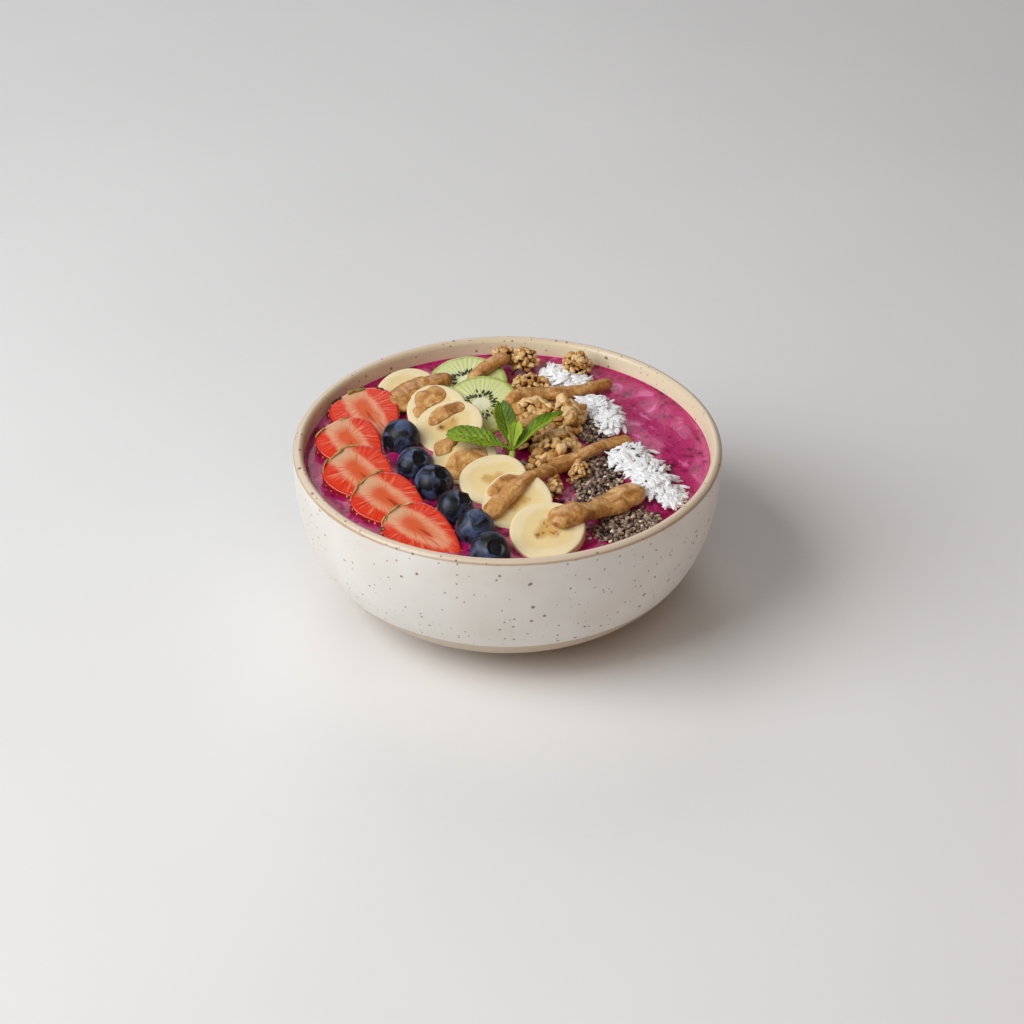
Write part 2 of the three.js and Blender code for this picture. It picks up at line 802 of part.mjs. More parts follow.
Object.entries(RIBBONS).forEach(([place, { path, width, height, steps }]) => {
  const shape = resting((grow) => ridge(path, width, height, 6, steps, grow));
  lay(`nut_butter_${place}`, "nut_butter", {}, shape);
});

lay(
  "granola_heap",
  "granola",
  {},
  resting(() => clump(HEAP, 5)),
  resting((grow) => clumpRoom(HEAP, grow)),
);

Object.entries(CLUSTERS).forEach(([place, part], i) => {
  lay(
    `granola_${place}`,
    "granola",
    {},
    resting(() => clump([part], 11 + i)),
    resting((grow) => clumpRoom([part], grow)),
  );
});

Object.entries(CHIA_PATCHES).forEach(([place, patch]) => {
  lay(
    `chia_${place}`,
    "chia",
    {},
    resting(() => chiaPatch(patch, 0.7, 0)),
    resting((grow) => chiaPatch(patch, 0.7, grow)),
  );
});

Object.entries(COCONUT_HEAPS).forEach(([place, heap]) => {
  lay(
    `coconut_${place}`,
    "coconut",
    {},
    resting(() => coconutHeap(heap)),
    resting((grow) => coconutRoom(heap, grow)),
  );
});

lay("smoothie", "smoothie", {}, smoothie);

export default group;
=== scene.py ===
"""A fruit smoothie bowl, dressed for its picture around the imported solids.

Every class makes one part of the dish from the same driving sizes as the solids. Pieces are
modelled in millimetres, in the dish's own frame, and turned to metres when they are served.
"""

from __future__ import annotations

import logging
import math
from dataclasses import dataclass, field
from enum import Enum
from typing import Callable, Sequence

import bpy
import numpy as np
from mathutils import Matrix, Vector, noise


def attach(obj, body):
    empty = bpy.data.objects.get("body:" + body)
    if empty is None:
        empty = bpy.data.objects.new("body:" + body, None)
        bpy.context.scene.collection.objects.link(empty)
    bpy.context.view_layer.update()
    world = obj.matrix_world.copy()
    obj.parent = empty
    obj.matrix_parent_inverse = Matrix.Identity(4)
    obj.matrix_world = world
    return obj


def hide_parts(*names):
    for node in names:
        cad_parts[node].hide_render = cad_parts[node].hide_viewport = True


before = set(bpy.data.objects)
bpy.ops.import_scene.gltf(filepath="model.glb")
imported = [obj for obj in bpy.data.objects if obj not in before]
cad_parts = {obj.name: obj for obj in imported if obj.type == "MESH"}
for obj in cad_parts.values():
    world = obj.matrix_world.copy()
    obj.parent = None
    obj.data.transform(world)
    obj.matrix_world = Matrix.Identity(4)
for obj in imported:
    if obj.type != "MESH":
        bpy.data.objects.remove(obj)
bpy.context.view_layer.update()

MM = 0.001
LEVEL = 57.0  # height of the smoothie's surface
FACE_SPAN = 40.0  # millimetres across the UV map of a cut face
GOLDEN_ANGLE = math.pi * (3 - math.sqrt(5))
CURVE_STEPS = 16  # samples between two points of a path
EDGE_WAVER = 0.16  # share of its width by which a spooned ridge wavers
DRAG_DEPTH = 0.22  # share of its height to which the spoon's drag marks go
NOISE_SHIFT = Vector((17.3, 5.1, 9.7))  # step in the noise from one seed to the next

log = logging.getLogger("smoothie_bowl")

Piece = bpy.types.Object
Material = bpy.types.Material
Tree = bpy.types.NodeTree
Socket = bpy.types.NodeSocket
Pair = tuple[float, float]
Triple = tuple[float, float, float]
Layer = tuple[Socket, str]  # how much it covers, and its colour
Pattern = tuple[Socket, list[Layer], Socket]


class Slot(Enum):
    """The record's material slots."""

    STONEWARE = "stoneware"
    SMOOTHIE = "smoothie"
    STRAWBERRY = "strawberry"
    BLUEBERRY = "blueberry"
    BANANA = "banana"
    KIWI = "kiwi"
    NUT_BUTTER = "nut_butter"
    GRANOLA = "granola"
    COCONUT = "coconut"
    CHIA = "chia"
    MINT = "mint"


class Streak(Enum):
    """How nut butter lies on a banana slice."""

    NONE = "none"
    SINGLE = "single"
    DOUBLE = "double"
    WIDE = "wide"
    DRIP = "drip"


# Colours and nodes


def linear(colour: str) -> tuple[float, float, float, float]:
    """Turns a screen colour to the light it stands for.

    Args:
        colour: sRGB hex value such as "#E8D0A3".

    Returns:
        Linear red, green and blue, and an alpha of 1.
    """
    values = [int(colour[i : i + 2], 16) / 255 for i in (1, 3, 5)]
    light = [v / 12.92 if v <= 0.04045 else ((v + 0.055) / 1.055) ** 2.4 for v in values]
    return (light[0], light[1], light[2], 1.0)


def per(size: float) -> float:
    """Returns the texture scale, on coordinates in metres, of a pattern that many mm across."""
    return 1 / (size * MM)


def node(
    tree: Tree,
    kind: str,
    inputs: dict | None = None,
    stops: Sequence[tuple[float, str]] = (),
    out: int | str = 0,
    **settings,
) -> Socket:
    """Adds a shader node.

    Args:
        tree: node tree that it goes into.
        kind: node type without its "ShaderNode".
        inputs: a value or another node's socket for each input, by name or number.
        stops: places and colours, where the node is a colour ramp.
        out: which of its outputs is wanted, by name or number.
        **settings: the node's own settings.

    Returns:
        That output.
    """
    made = tree.nodes.new("ShaderNode" + kind)
    for key, value in settings.items():
        setattr(made, key, value)
    for key, value in (inputs or {}).items():
        if isinstance(value, Socket):
            tree.links.new(value, made.inputs[key])
        else:
            made.inputs[key].default_value = value
    if stops:
        elements = made.color_ramp.elements
        elements.remove(elements[-1])
        elements[0].position = stops[0][0]
        elements[0].color = linear(stops[0][1])
        for place, colour in stops[1:]:
            elements.new(place).color = linear(colour)
    return made.outputs[out]


# Modelling helpers


def only(piece: Piece) -> None:
    """Selects one piece and nothing else.

    Args:
        piece: the piece.
    """
    bpy.ops.object.select_all(action="DESELECT")
    piece.select_set(True)
    bpy.context.view_layer.objects.active = piece


def named(name: str) -> Piece:
    """Names the piece that was just added and clears its UV maps.

    Args:
        name: the piece's name.

    Returns:
        The piece.
    """
    piece = bpy.context.object
    piece.name = piece.data.name = name
    while piece.data.uv_layers:
        piece.data.uv_layers.remove(piece.data.uv_layers[0])
    return piece


def ball(name: str, segments: int, rings: int, radius: float = 1.0) -> Piece:
    """Adds a ball round the origin.

    Args:
        name: the piece's name.
        segments: corners of a ring.
        rings: steps from pole to pole.
        radius: its radius.

    Returns:
        The piece.
    """
    bpy.ops.object.select_all(action="DESELECT")
    bpy.ops.mesh.primitive_uv_sphere_add(segments=segments, ring_count=rings, radius=radius)
    return named(name)


def points_of(piece: Piece) -> np.ndarray:
    """Reads a piece's vertices.

    Args:
        piece: the piece.

    Returns:
        Their places, one row each.
    """
    flat = np.empty(len(piece.data.vertices) * 3)
    piece.data.vertices.foreach_get("co", flat)
    return flat.reshape(-1, 3)


def move_points(piece: Piece, points: np.ndarray) -> None:
    """Puts a piece's vertices at new places."""
    piece.data.vertices.foreach_set("co", points.ravel())
    piece.data.update()


def paint(piece: Piece, name: str, values: np.ndarray) -> None:
    """Gives each vertex a number that a material can read."""
    layer = piece.data.attributes.new(name, "FLOAT", "POINT")
    layer.data.foreach_set("value", np.asarray(values, dtype=float))


def map_face(piece: Piece, points: np.ndarray) -> None:
    """Lays the UV map of a cut face.

    Args:
        piece: the slice.
        points: its vertices, in its own frame.
    """
    layer = piece.data.uv_layers.new(name="face")
    corners = np.empty(len(piece.data.loops), dtype=int)
    piece.data.loops.foreach_get("vertex_index", corners)
    layer.data.foreach_set("uv", (points[corners, :2] / FACE_SPAN + 0.5).ravel())


def finish_with(piece: Piece, kind: str, **settings) -> None:
    """Adds a modifier to a piece and applies it.

    Args:
        piece: the piece.
        kind: the modifier's type.
        **settings: the modifier's own settings.
    """
    only(piece)
    modifier = piece.modifiers.new(kind.title(), kind)
    for key, value in settings.items():
        setattr(modifier, key, value)
    bpy.ops.object.modifier_apply(modifier=modifier.name)


def wobble(points: np.ndarray, size: float, seed: float = 0.0) -> np.ndarray:
    """Smooth noise over points.

    Args:
        points: places, one row each.
        size: distance between bumps.
        seed: picks another part of the noise.

    Returns:
        A value from about -1 to 1 for each point.
    """
    shift = NOISE_SHIFT * (seed + 0.37)
    return np.array([noise.noise(Vector(point) / size + shift) for point in points])


def smooth_step(value: np.ndarray, low: float, high: float) -> np.ndarray:
    """Returns 0 below low, 1 above high and a soft rise between."""
    share = np.clip((value - low) / (high - low), 0, 1)
    return share * share * (3 - 2 * share)


def face_out(piece: Piece) -> None:
    """Turns all of a piece's faces outwards.

    Args:
        piece: the piece.
    """
    only(piece)
    bpy.ops.object.mode_set(mode="EDIT")
    bpy.ops.mesh.select_all(action="SELECT")
    bpy.ops.mesh.normals_make_consistent(inside=False)
    bpy.ops.object.mode_set(mode="OBJECT")


def throw(name: str, profile: Sequence[Pair], segments: int) -> Piece:
    """Draws a round piece up from a ring, by extruding and scaling it, and closes both ends.

    Args:
        name: the piece's name.
        profile: radius and height of each ring, from the lower pole to the upper one.
        segments: corners of a ring.

    Returns:
        The piece.
    """
    bpy.ops.object.select_all(action="DESELECT")
    radius, height = profile[0]
    bpy.ops.mesh.primitive_circle_add(vertices=segments, radius=radius, location=(0, 0, height))
    bpy.ops.object.transform_apply(location=True)
    piece = named(name)
    bpy.ops.object.mode_set(mode="EDIT")
    bpy.ops.mesh.select_mode(type="VERT")
    bpy.ops.mesh.select_all(action="SELECT")
    for wider, higher in profile[1:]:
        rise = {"value": (0, 0, higher - height)}
        bpy.ops.mesh.extrude_region_move(TRANSFORM_OT_translate=rise)
        scale = wider / radius
        bpy.ops.transform.resize(value=(scale, scale, 1), center_override=(0, 0, 0))
        radius, height = wider, higher
    bpy.ops.mesh.edge_face_add()
    bpy.ops.mesh.poke()
    bpy.ops.mesh.select_all(action="DESELECT")
    bpy.ops.mesh.select_non_manifold()
    bpy.ops.mesh.edge_face_add()
    bpy.ops.mesh.poke()
    bpy.ops.object.mode_set(mode="OBJECT")
    face_out(piece)
    return piece


@dataclass(frozen=True)
class Pose:
    """Where a topping lies: its place in millimetres and its turns in degrees."""

    at: Triple
    lean: float = 0.0
    roll: float = 0.0
    turn: float = 0.0

    def matrix(self) -> Matrix:
        """Returns the move from the topping's own frame to the dish's."""
        turns = (
            Matrix.Rotation(math.radians(self.lean), 4, "X")
            @ Matrix.Rotation(math.radians(self.roll), 4, "Y")
            @ Matrix.Rotation(math.radians(self.turn), 4, "Z")
        )
        return Matrix.Translation(self.at) @ turns


def tumbled(rng: np.random.Generator, at: Triple, lean: float, roll: float) -> Pose:
    """Draws how a loose thing lies.

    Args:
        rng: what the draws come from.
        at: its place.
        lean: its largest lean to either side, in degrees.
        roll: its largest roll to either side.

    Returns:
        Its pose, turned any way.
    """
    return Pose(at, rng.uniform(-lean, lean), rng.uniform(-roll, roll), rng.uniform(0, 360))


@dataclass
class Path:
    """A smooth line through points, read by the share of its length."""

    points: Sequence[Triple]

    def __post_init__(self) -> None:
        """Samples the line finely."""
        given = np.array(self.points, dtype=float)
        ends = [2 * given[0] - given[1], 2 * given[-1] - given[-2]]
        knots = np.vstack([ends[0], given, ends[1]])
        samples = [self._span(*knots[i : i + 4]) for i in range(len(given) - 1)]
        self.samples = np.vstack([*samples, given[-1]])
        steps = np.linalg.norm(np.diff(self.samples, axis=0), axis=1)
        self.along = np.concatenate([[0], np.cumsum(steps)])
        self.length = float(self.along[-1])

    @staticmethod
    def _span(a: np.ndarray, b: np.ndarray, c: np.ndarray, d: np.ndarray) -> np.ndarray:
        """Samples the centripetal curve between two points.

        Args:
            a: the point before them.
            b: where the span begins.
            c: where it ends.
            d: the point after them.

        Returns:
            The samples, without the last one.
        """
        steps = [math.sqrt(float(np.linalg.norm(q - p))) for p, q in ((a, b), (b, c), (c, d))]
        before, here, after = steps
        leave = ((b - a) / before - (c - a) / (before + here) + (c - b) / here) * here
        reach = ((c - b) / here - (d - b) / (here + after) + (d - c) / after) * here
        t = np.linspace(0, 1, CURVE_STEPS, endpoint=False)[:, None]
        cubic = 2 * b - 2 * c + leave + reach
        square = -3 * b + 3 * c - 2 * leave - reach
        return cubic * t**3 + square * t**2 + leave * t + b

    def point(self, share: np.ndarray) -> np.ndarray:
        """Returns the places at those shares of the length."""
        want = np.clip(share, 0, 1) * self.length
        return np.stack([np.interp(want, self.along, self.samples[:, k]) for k in range(3)], 1)

    def heading(self, share: np.ndarray) -> np.ndarray:
        """Gives the line's directions.

        Args:
            share: shares of the length.

        Returns:
            A level unit direction for each.
        """
        ahead = self.point(share + 0.01) - self.point(share - 0.01)
        ahead[:, 2] = 0
        return ahead / np.linalg.norm(ahead, axis=1, keepdims=True)


def squeeze(
    name: str,
    path: Path,
    width_at: Callable[[np.ndarray], np.ndarray],
    height: float,
    segments: int,
    rings: int,
) -> Piece:
    """Draws a ball out along a path, to a soft ridge with round ends and a spoon's drag marks.

    Args:
        name: the piece's name.
        path: the ridge's middle line.
        width_at: half width for a share of the length.
        height: half height.
        segments: corners round the ridge.
        rings: steps along it.

    Returns:
        The piece.
    """
    piece = ball(name, segments, rings)
    unit = points_of(piece)
    rise = np.clip(unit[:, 2], -1, 1)
    share = 0.5 - 0.3 * rise - 0.4 * np.arcsin(rise) / math.pi
    width = width_at(share)
    from_end = np.minimum(share, 1 - share) * path.length
    full = np.sqrt(1 - np.maximum(0, 1 - from_end / width) ** 2)
    around = np.arctan2(unit[:, 1], unit[:, 0])
    ahead = path.heading(share)
    points = path.point(share)
    # Both edges waver on their own, and the top is flatter than an ellipse.
    side = np.cos(around)
    beside = points + ahead[:, [1, 0, 2]] * (9 * np.sign(side))[:, None]
    waver = 1 + EDGE_WAVER * wobble(beside, 5)
    across = width * full * waver * np.sign(side) * np.abs(side) ** 0.8
    points[:, 0] += ahead[:, 1] * across
    points[:, 1] -= ahead[:, 0] * across
    rise = np.sin(around)
    drag = np.cos(5 * around + 5 * wobble(points, 11)) * wobble(points + 40, 7)
    full *= 1 + DRAG_DEPTH * drag * (rise > 0) * np.sqrt(np.maximum(rise, 0))
    points[:, 2] += height * full * np.sign(rise) * np.abs(rise) ** 0.75
    move_points(piece, points)
    face_out(piece)
    return piece


@dataclass
class Shape:
    """A small modelled shape, kept as triangles so that copies of it can be joined."""

    points: np.ndarray
    faces: np.ndarray

    @staticmethod
    def of(piece: Piece) -> Shape:
        """Reads a modelled piece and removes it.

        Args:
            piece: the modelled piece.

        Returns:
            Its shape.
        """
        piece.data.calc_loop_triangles()
        faces = np.empty(len(piece.data.loop_triangles) * 3, dtype=int)
        piece.data.loop_triangles.foreach_get("vertices", faces)
        shape = Shape(points_of(piece), faces.reshape(-1, 3))
        bpy.data.objects.remove(piece)
        return shape


@dataclass
class Crowd:
    """Copies of small shapes, each with its own mesh, joined into one piece."""

    shapes: list[Shape]
    points: list[np.ndarray] = field(default_factory=list)
    faces: list[np.ndarray] = field(default_factory=list)
    tones: list[np.ndarray] = field(default_factory=list)
    count: int = 0

    def add(
        self,
        kind: int,
        pose: Pose,
        size: Triple,
        tone: float,
        shade: Callable[[np.ndarray], np.ndarray] | None = None,
    ) -> None:
        """Adds one copy.

        Args:
            kind: number of the shape, taken round if there are fewer.
            pose: where it lies.
            size: scale along its own axes.
            tone: its place between the finish's dark and light colour.
            shade: painted shade and light that each of its points adds to the tone.
        """
        shape = self.shapes[kind % len(self.shapes)]
        move = np.array(pose.matrix())
        points = (shape.points * np.array(size)) @ move[:3, :3].T + move[:3, 3]
        self.faces.append(shape.faces + self.count)
        self.points.append(points)
        self.tones.append(tone + (shade(points) if shade else np.zeros(len(points))))
        self.count += len(points)

    def join(self, name: str) -> Piece:
        """Joins all copies.

        Args:
            name: the new piece's name.

        Returns:
            The piece.
        """
        mesh = bpy.data.meshes.new(name)
        points, faces = np.vstack(self.points), np.vstack(self.faces)
        mesh.from_pydata(points.tolist(), [], faces.tolist())
        piece = bpy.data.objects.new(name, mesh)
        bpy.context.scene.collection.objects.link(piece)
        paint(piece, "tone", np.concatenate(self.tones))
        return piece


def serve(piece: Piece, material: Material, slot: Slot, *stands_for: str) -> Piece:
    """Turns a piece to metres, gives it its finish and sets it in the dish.

    Args:
        piece: the modelled piece, in millimetres.
        material: its finish.
        slot: the record's material slot; not used.
        *stands_for: solids that it is shown in place of.

    Returns:
        The piece.
    """
    piece.data.transform(Matrix.Scale(MM, 4))
    piece.data.materials.clear()
    piece.data.materials.append(material)
    piece.data.polygons.foreach_set("use_smooth", np.ones(len(piece.data.polygons), dtype=bool))
    piece.data.update()
    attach(piece, "root")
    if stands_for:
        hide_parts(*stands_for)
    return piece


# Finishes


@dataclass(frozen=True)
class Finish:
    """How the light leaves a surface. A pattern method gives its colours and relief."""

    name: str
    roughness: float
    relief_mm: float = 0.2
    coat: float = 0.0
    coat_roughness: float = 0.15
    subsurface: float = 0.0
    bleed_mm: Triple = (1.0, 0.5, 0.3)
    sheen: float = 0.0
    specular: float = 0.5

    def pattern(self, tree: Tree) -> Pattern:
        """Returns the ground colour, what lies over it and the relief's height."""
        raise NotImplementedError

    def material(self) -> Material:
        """Makes the finish's material.

        Returns:
            The material.
        """
        made = bpy.data.materials.new(self.name)
        made.use_nodes = True
        tree = made.node_tree
        shader = tree.nodes["Principled BSDF"]
        sockets = {
            "Roughness": self.roughness,
            "Coat Weight": self.coat,
            "Coat Roughness": self.coat_roughness,
            "Subsurface Weight": self.subsurface,
            "Subsurface Radius": self.bleed_mm,
            "Subsurface Scale": MM,
            "Sheen Weight": self.sheen,
            "Specular IOR Level": self.specular,
        }
        for socket, value in sockets.items():
            shader.inputs[socket].default_value = value
        colour, layers, relief = self.pattern(tree)
        for cover, over in layers:
            mix = {0: cover, 6: colour, 7: linear(over)}
            colour = node(tree, "Mix", mix, out=2, data_type="RGBA")
        bump = node(tree, "Bump", {"Height": relief, "Distance": self.relief_mm * MM})
        tree.links.new(colour, shader.inputs["Base Color"])
        tree.links.new(bump, shader.inputs["Normal"])
        return made


def face_place(tree: Tree) -> Socket:
    """Finds the place on a cut face.

    Args:
        tree: node tree that it goes into.

    Returns:
        The place, in millimetres from the face's middle.
    """
    mapping = {
        "Vector": node(tree, "UVMap", uv_map="face"),
        "Location": (-FACE_SPAN / 2, -FACE_SPAN / 2, 0),
        "Scale": (FACE_SPAN,) * 3,
    }
    return node(tree, "Mapping", mapping)


def spokes(tree: Tree, place: Socket, share: Socket, count: float) -> Socket:
    """Makes streaks that run out from the middle of a cut face.

    Args:
        tree: node tree that they go into.
        place: place on the face.
        share: share of the face's radius.
        count: how many there are, roughly.

    Returns:
        The streaks' strength, around a half.
    """
    own = node(tree, "Attribute", out="Fac", attribute_name="own")
    rise = node(tree, "Math", {0: share, 1: own}, operation="ADD")
    lift = node(tree, "CombineXYZ", {2: rise})
    outward = node(tree, "VectorMath", {0: place}, operation="NORMALIZE")
    around = {0: outward, 1: (count / 4,) * 3, 2: lift}
    around = node(tree, "VectorMath", around, operation="MULTIPLY_ADD")
    return node(tree, "TexNoise", {"Vector": around, "Scale": 1.3, "Detail": 3.0})


def oval(tree: Tree, place: Socket, half: Sequence[float], shift: float) -> Socket:
    """Measures how far out of an oval a place is.

    Args:
        tree: node tree that it goes into.
        place: place on the face.
        half: the oval's half sizes.
        shift: how far the oval lies towards -X, in half sizes.

    Returns:
        0 in the oval's middle, 1 on its line.
    """
    inputs = {"Vector": place, "Scale": (1 / half[0], 1 / half[1], 1.0), "Location": (shift, 0, 0)}
    within = node(tree, "Mapping", inputs)
    return node(tree, "VectorMath", {0: within}, out="Value", operation="LENGTH")


@dataclass(frozen=True)
class SpeckledGlaze(Finish):
    """Satin cream glaze on thrown stoneware. Iron grains in the clay bleed through it as brown
    specks, it thins to a tan line round the lip, and the clay is bare under the glaze line. The
    inner wall above the filling is painted a yellower cream: painted warm bounce light."""

    cream: str = "#E8E5DE"
    warm: str = "#E2DBD1"
    # Painted warm bounce light: the inner wall above the filling is tinted this yellower cream.
    inside: str = "#F5F0CC"
    lip: str = "#DBBF9E"
    line: str = "#AC8A60"
    clay: str = "#C6B29A"
    iron: str = "#7A4A30"
    cloud_mm: float = 28.0
    grain_mm: float = 3.2
    # Heights and radii between which each colour sets in.
    glaze_line_mm: Pair = (21.7, 21.2)
    filling_mm: Pair = (LEVEL - 6, LEVEL - 4)
    painted_bounce_wall_mm: Pair = (78.0, 77.0)
    lip_mm: Pair = (62.2, 63.6)
    line_mm: Pair = (62.5, 62.9)
    line_out_mm: Pair = (79.35, 79.75)
    # Cell, radius and strength of the iron specks. A few lie in each square centimetre.
    specks: tuple[Triple, ...] = ((2.7, 0.44, 0.7), (5.0, 0.66, 0.85))

    @staticmethod
    def between(value: Socket, ends_mm: Pair, most: float = 1.0) -> dict:
        """Returns the inputs of a rise from 0 to the most between two measures."""
        return {0: value, 1: ends_mm[0] * MM, 2: ends_mm[1] * MM, 4: most}

    def pattern(self, tree: Tree) -> Pattern:
        """Adds the finish's own nodes.

        Args:
            tree: node tree that they go into.

        Returns:
            The ground colour, what lies over it and the relief's height.
        """
        place = node(tree, "TexCoord", out="Object")
        height = node(tree, "SeparateXYZ", {0: place}, out="Z")
        level = node(tree, "VectorMath", {0: place, 1: (1, 1, 0)}, operation="MULTIPLY")
        radius = node(tree, "VectorMath", {0: level}, out="Value", operation="LENGTH")
        cloud = {"Vector": place, "Scale": per(self.cloud_mm), "Detail": 3.0}
        cloud = node(tree, "TexNoise", cloud)
        grain = {"Vector": place, "Scale": per(self.grain_mm), "Detail": 4.0}
        grain = node(tree, "TexNoise", grain)
        ground = node(tree, "ValToRGB", {0: cloud}, [(0.36, self.warm), (0.62, self.cream)])
        edge = {0: grain, 1: 0.5 * MM, 2: height}
        edge = node(tree, "Math", edge, operation="MULTIPLY_ADD")
        # Painted warm bounce light on the inner wall above the filling.
        within = node(tree, "MapRange", self.between(radius, self.painted_bounce_wall_mm))
        above = node(tree, "MapRange", self.between(height, self.filling_mm))
        within = node(tree, "Math", {0: within, 1: above}, operation="MULTIPLY")
        lip = node(tree, "MapRange", self.between(edge, self.lip_mm, 0.7))
        line = node(tree, "MapRange", self.between(edge, self.line_mm, 0.75))
        outer = node(tree, "MapRange", self.between(radius, self.line_out_mm))
        line = node(tree, "Math", {0: line, 1: outer}, operation="MULTIPLY")
        layers = [(within, self.inside), (lip, self.lip), (line, self.line)]
        stray = {0: grain.node.outputs["Color"], 1: (1.1 * MM,) * 3, 2: place}
        stray = node(tree, "VectorMath", stray, operation="MULTIPLY_ADD")
        for cell, size, strength in self.specks:
            gap = node(tree, "TexVoronoi", {"Vector": stray, "Scale": per(cell)})
            own = node(tree, "SeparateColor", {0: gap.node.outputs["Color"]})
            reach = node(tree, "Math", {0: own, 1: 0.12}, operation="ADD")
            away = node(tree, "Math", {0: gap, 1: reach}, operation="DIVIDE")
            spot = {0: away, 1: 1.3 * size / cell, 2: 0.7 * size / cell, 4: strength}
            layers.append((node(tree, "MapRange", spot), self.iron))
        bare = node(tree, "MapRange", self.between(edge, self.glaze_line_mm))
        return ground, [*layers, (bare, self.clay)], grain


@dataclass(frozen=True)
class FruitPuree(Finish):
    """Thick blended berries, spooned level. Wet and glossy, with darker skins, and pale
    patches that are partly froth and partly painted sheen.
    """

    deep: str = "#7C083A"
    middle: str = "#BA1A66"
    froth_and_sheen: str = "#E274AC"
    skin: str = "#560823"
    swirl_mm: float = 13.0
    grain_mm: float = 1.5
    skin_mm: float = 2.9  # from one bit of skin to the next
    skin_stray_mm: float = 1.4

    def pattern(self, tree: Tree) -> Pattern:
        """Adds the finish's own nodes.

        Args:
            tree: node tree that they go into.

        Returns:
            The ground colour, what lies over it and the relief's height.
        """
        place = node(tree, "TexCoord", out="Object")
        swirl = {"Vector": place, "Scale": per(self.swirl_mm), "Detail": 5.0, "Distortion": 1.4}
        swirl = node(tree, "TexNoise", swirl)
        # The palest stop stands partly for froth and partly for painted sheen.
        stops = [(0.34, self.deep), (0.46, self.middle), (0.58, self.middle), (0.72, self.froth_and_sheen)]
        ground = node(tree, "ValToRGB", {0: swirl}, stops)
        grain = {"Vector": place, "Scale": per(self.grain_mm), "Detail": 3.0}
        grain = node(tree, "TexNoise", grain)
        # Bits of skin are 0.5 to 2 mm across, of no one shape.
        stray = {0: grain.node.outputs["Color"], 1: (self.skin_stray_mm * MM,) * 3, 2: place}
        stray = node(tree, "VectorMath", stray, operation="MULTIPLY_ADD")
        gap = node(tree, "TexVoronoi", {"Vector": stray, "Scale": per(self.skin_mm)})
        own = node(tree, "SeparateColor", {0: gap.node.outputs["Color"]}, out=1)
        away = node(tree, "Math", {0: gap, 1: own}, operation="DIVIDE")
        spot = node(tree, "MapRange", {0: away, 1: 0.62, 2: 0.2, 4: 0.75})
        return ground, [(spot, self.skin)], grain


@dataclass(frozen=True)
class StrawberryFlesh(Finish):
    """Fresh strawberry cut lengthwise: red rim, fibres that run out to the skin, a pale band that
    opens to the stem and a dark slit in the core. Wet, and the light goes a little way in."""

    skin: str = "#AE160C"
    rim: str = "#D8200B"
    flesh: str = "#E63A0E"
    band: str = "#ECA078"
    core: str = "#E0602E"
    slit: str = "#A81A10"
    shoulder: str = "#DFB48C"
    fan_mm: float = 6.0  # from the face's middle to the point that the fibres fan out from
    fibres: int = 34
    # Half sizes of three ovals on the face, in millimetres.
    core_half: Pair = (14.0, 4.8)
    slit_half: Pair = (3.0, 0.6)
    stem_half: Pair = (5.5, 7.0)

    def pattern(self, tree: Tree) -> Pattern:
        """Adds the finish's own nodes.

        Args:
            tree: node tree that they go into.

        Returns:
            The ground colour, what lies over it and the relief's height.
        """
        share = node(tree, "Attribute", out="Fac", attribute_name="share")
        own = node(tree, "Attribute", out="Fac", attribute_name="own")
        place = face_place(tree)
        # The fibres fan out from a point nearer the stem, so they slant towards the tip.
        fan = node(tree, "VectorMath", {0: place, 1: (self.fan_mm, 0, 0)}, operation="ADD")
        fibre = spokes(tree, fan, share, self.fibres)
        moved = node(tree, "VectorMath", {0: place, 1: own}, operation="ADD")
        patch = node(tree, "TexNoise", {"Vector": moved, "Scale": 0.24, "Detail": 3.0})
        # The core is a long oval that the stem's end of the slice cuts open.
        core = oval(tree, place, self.core_half, 0.36)
        ray = node(tree, "Math", {0: fibre, 1: 0.5}, operation="SUBTRACT")
        far = node(tree, "MapRange", {0: core, 1: 0.2, 2: 1.1, 3: 0.1})
        ray = node(tree, "Math", {0: ray, 1: far}, operation="MULTIPLY")
        wavy = node(tree, "Math", {0: patch, 1: 0.55, 2: core}, operation="MULTIPLY_ADD")
        wavy = node(tree, "Math", {0: ray, 1: 0.8, 2: wavy}, operation="MULTIPLY_ADD")
        wavy = node(tree, "Math", {0: wavy, 1: 0.5}, operation="MULTIPLY")
        stops = [(0.34, self.core), (0.6, self.band), (0.66, self.band), (0.8, self.flesh)]
        ground = node(tree, "ValToRGB", {0: wavy}, stops)
        pale = node(tree, "MapRange", {0: ray, 1: 0.05, 2: 0.16})
        inner = node(tree, "MapRange", {0: share, 1: 0.98, 2: 0.62, 4: 0.75})
        pale = node(tree, "Math", {0: pale, 1: inner}, operation="MULTIPLY")
        deep = node(tree, "MapRange", {0: ray, 1: -0.04, 2: -0.15, 4: 0.6})
        reach = oval(tree, place, self.slit_half, -0.1)
        reach = node(tree, "Math", {0: fibre, 1: 3.2, 2: reach}, operation="MULTIPLY_ADD")
        dark = node(tree, "MapRange", {0: reach, 1: 2.9, 2: 2.1, 4: 0.8})
        # Round the stem the flesh is straw coloured.
        spot = oval(tree, place, self.stem_half, 2.7)
        spot = node(tree, "Math", {0: patch, 1: 0.8, 2: spot}, operation="MULTIPLY_ADD")
        stem = node(tree, "MapRange", {0: spot, 1: 1.5, 2: 0.7, 4: 0.85})
        wet = node(tree, "MapRange", {0: share, 1: 0.86, 2: 0.97, 4: 0.9})
        outside = node(tree, "MapRange", {0: share, 1: 0.97, 2: 1.04})
        layers = [
            (deep, self.rim),
            (pale, self.band),
            (dark, self.slit),
            (wet, self.rim),
            (stem, self.shoulder),
            (outside, self.skin),
        ]
        return ground, layers, ray


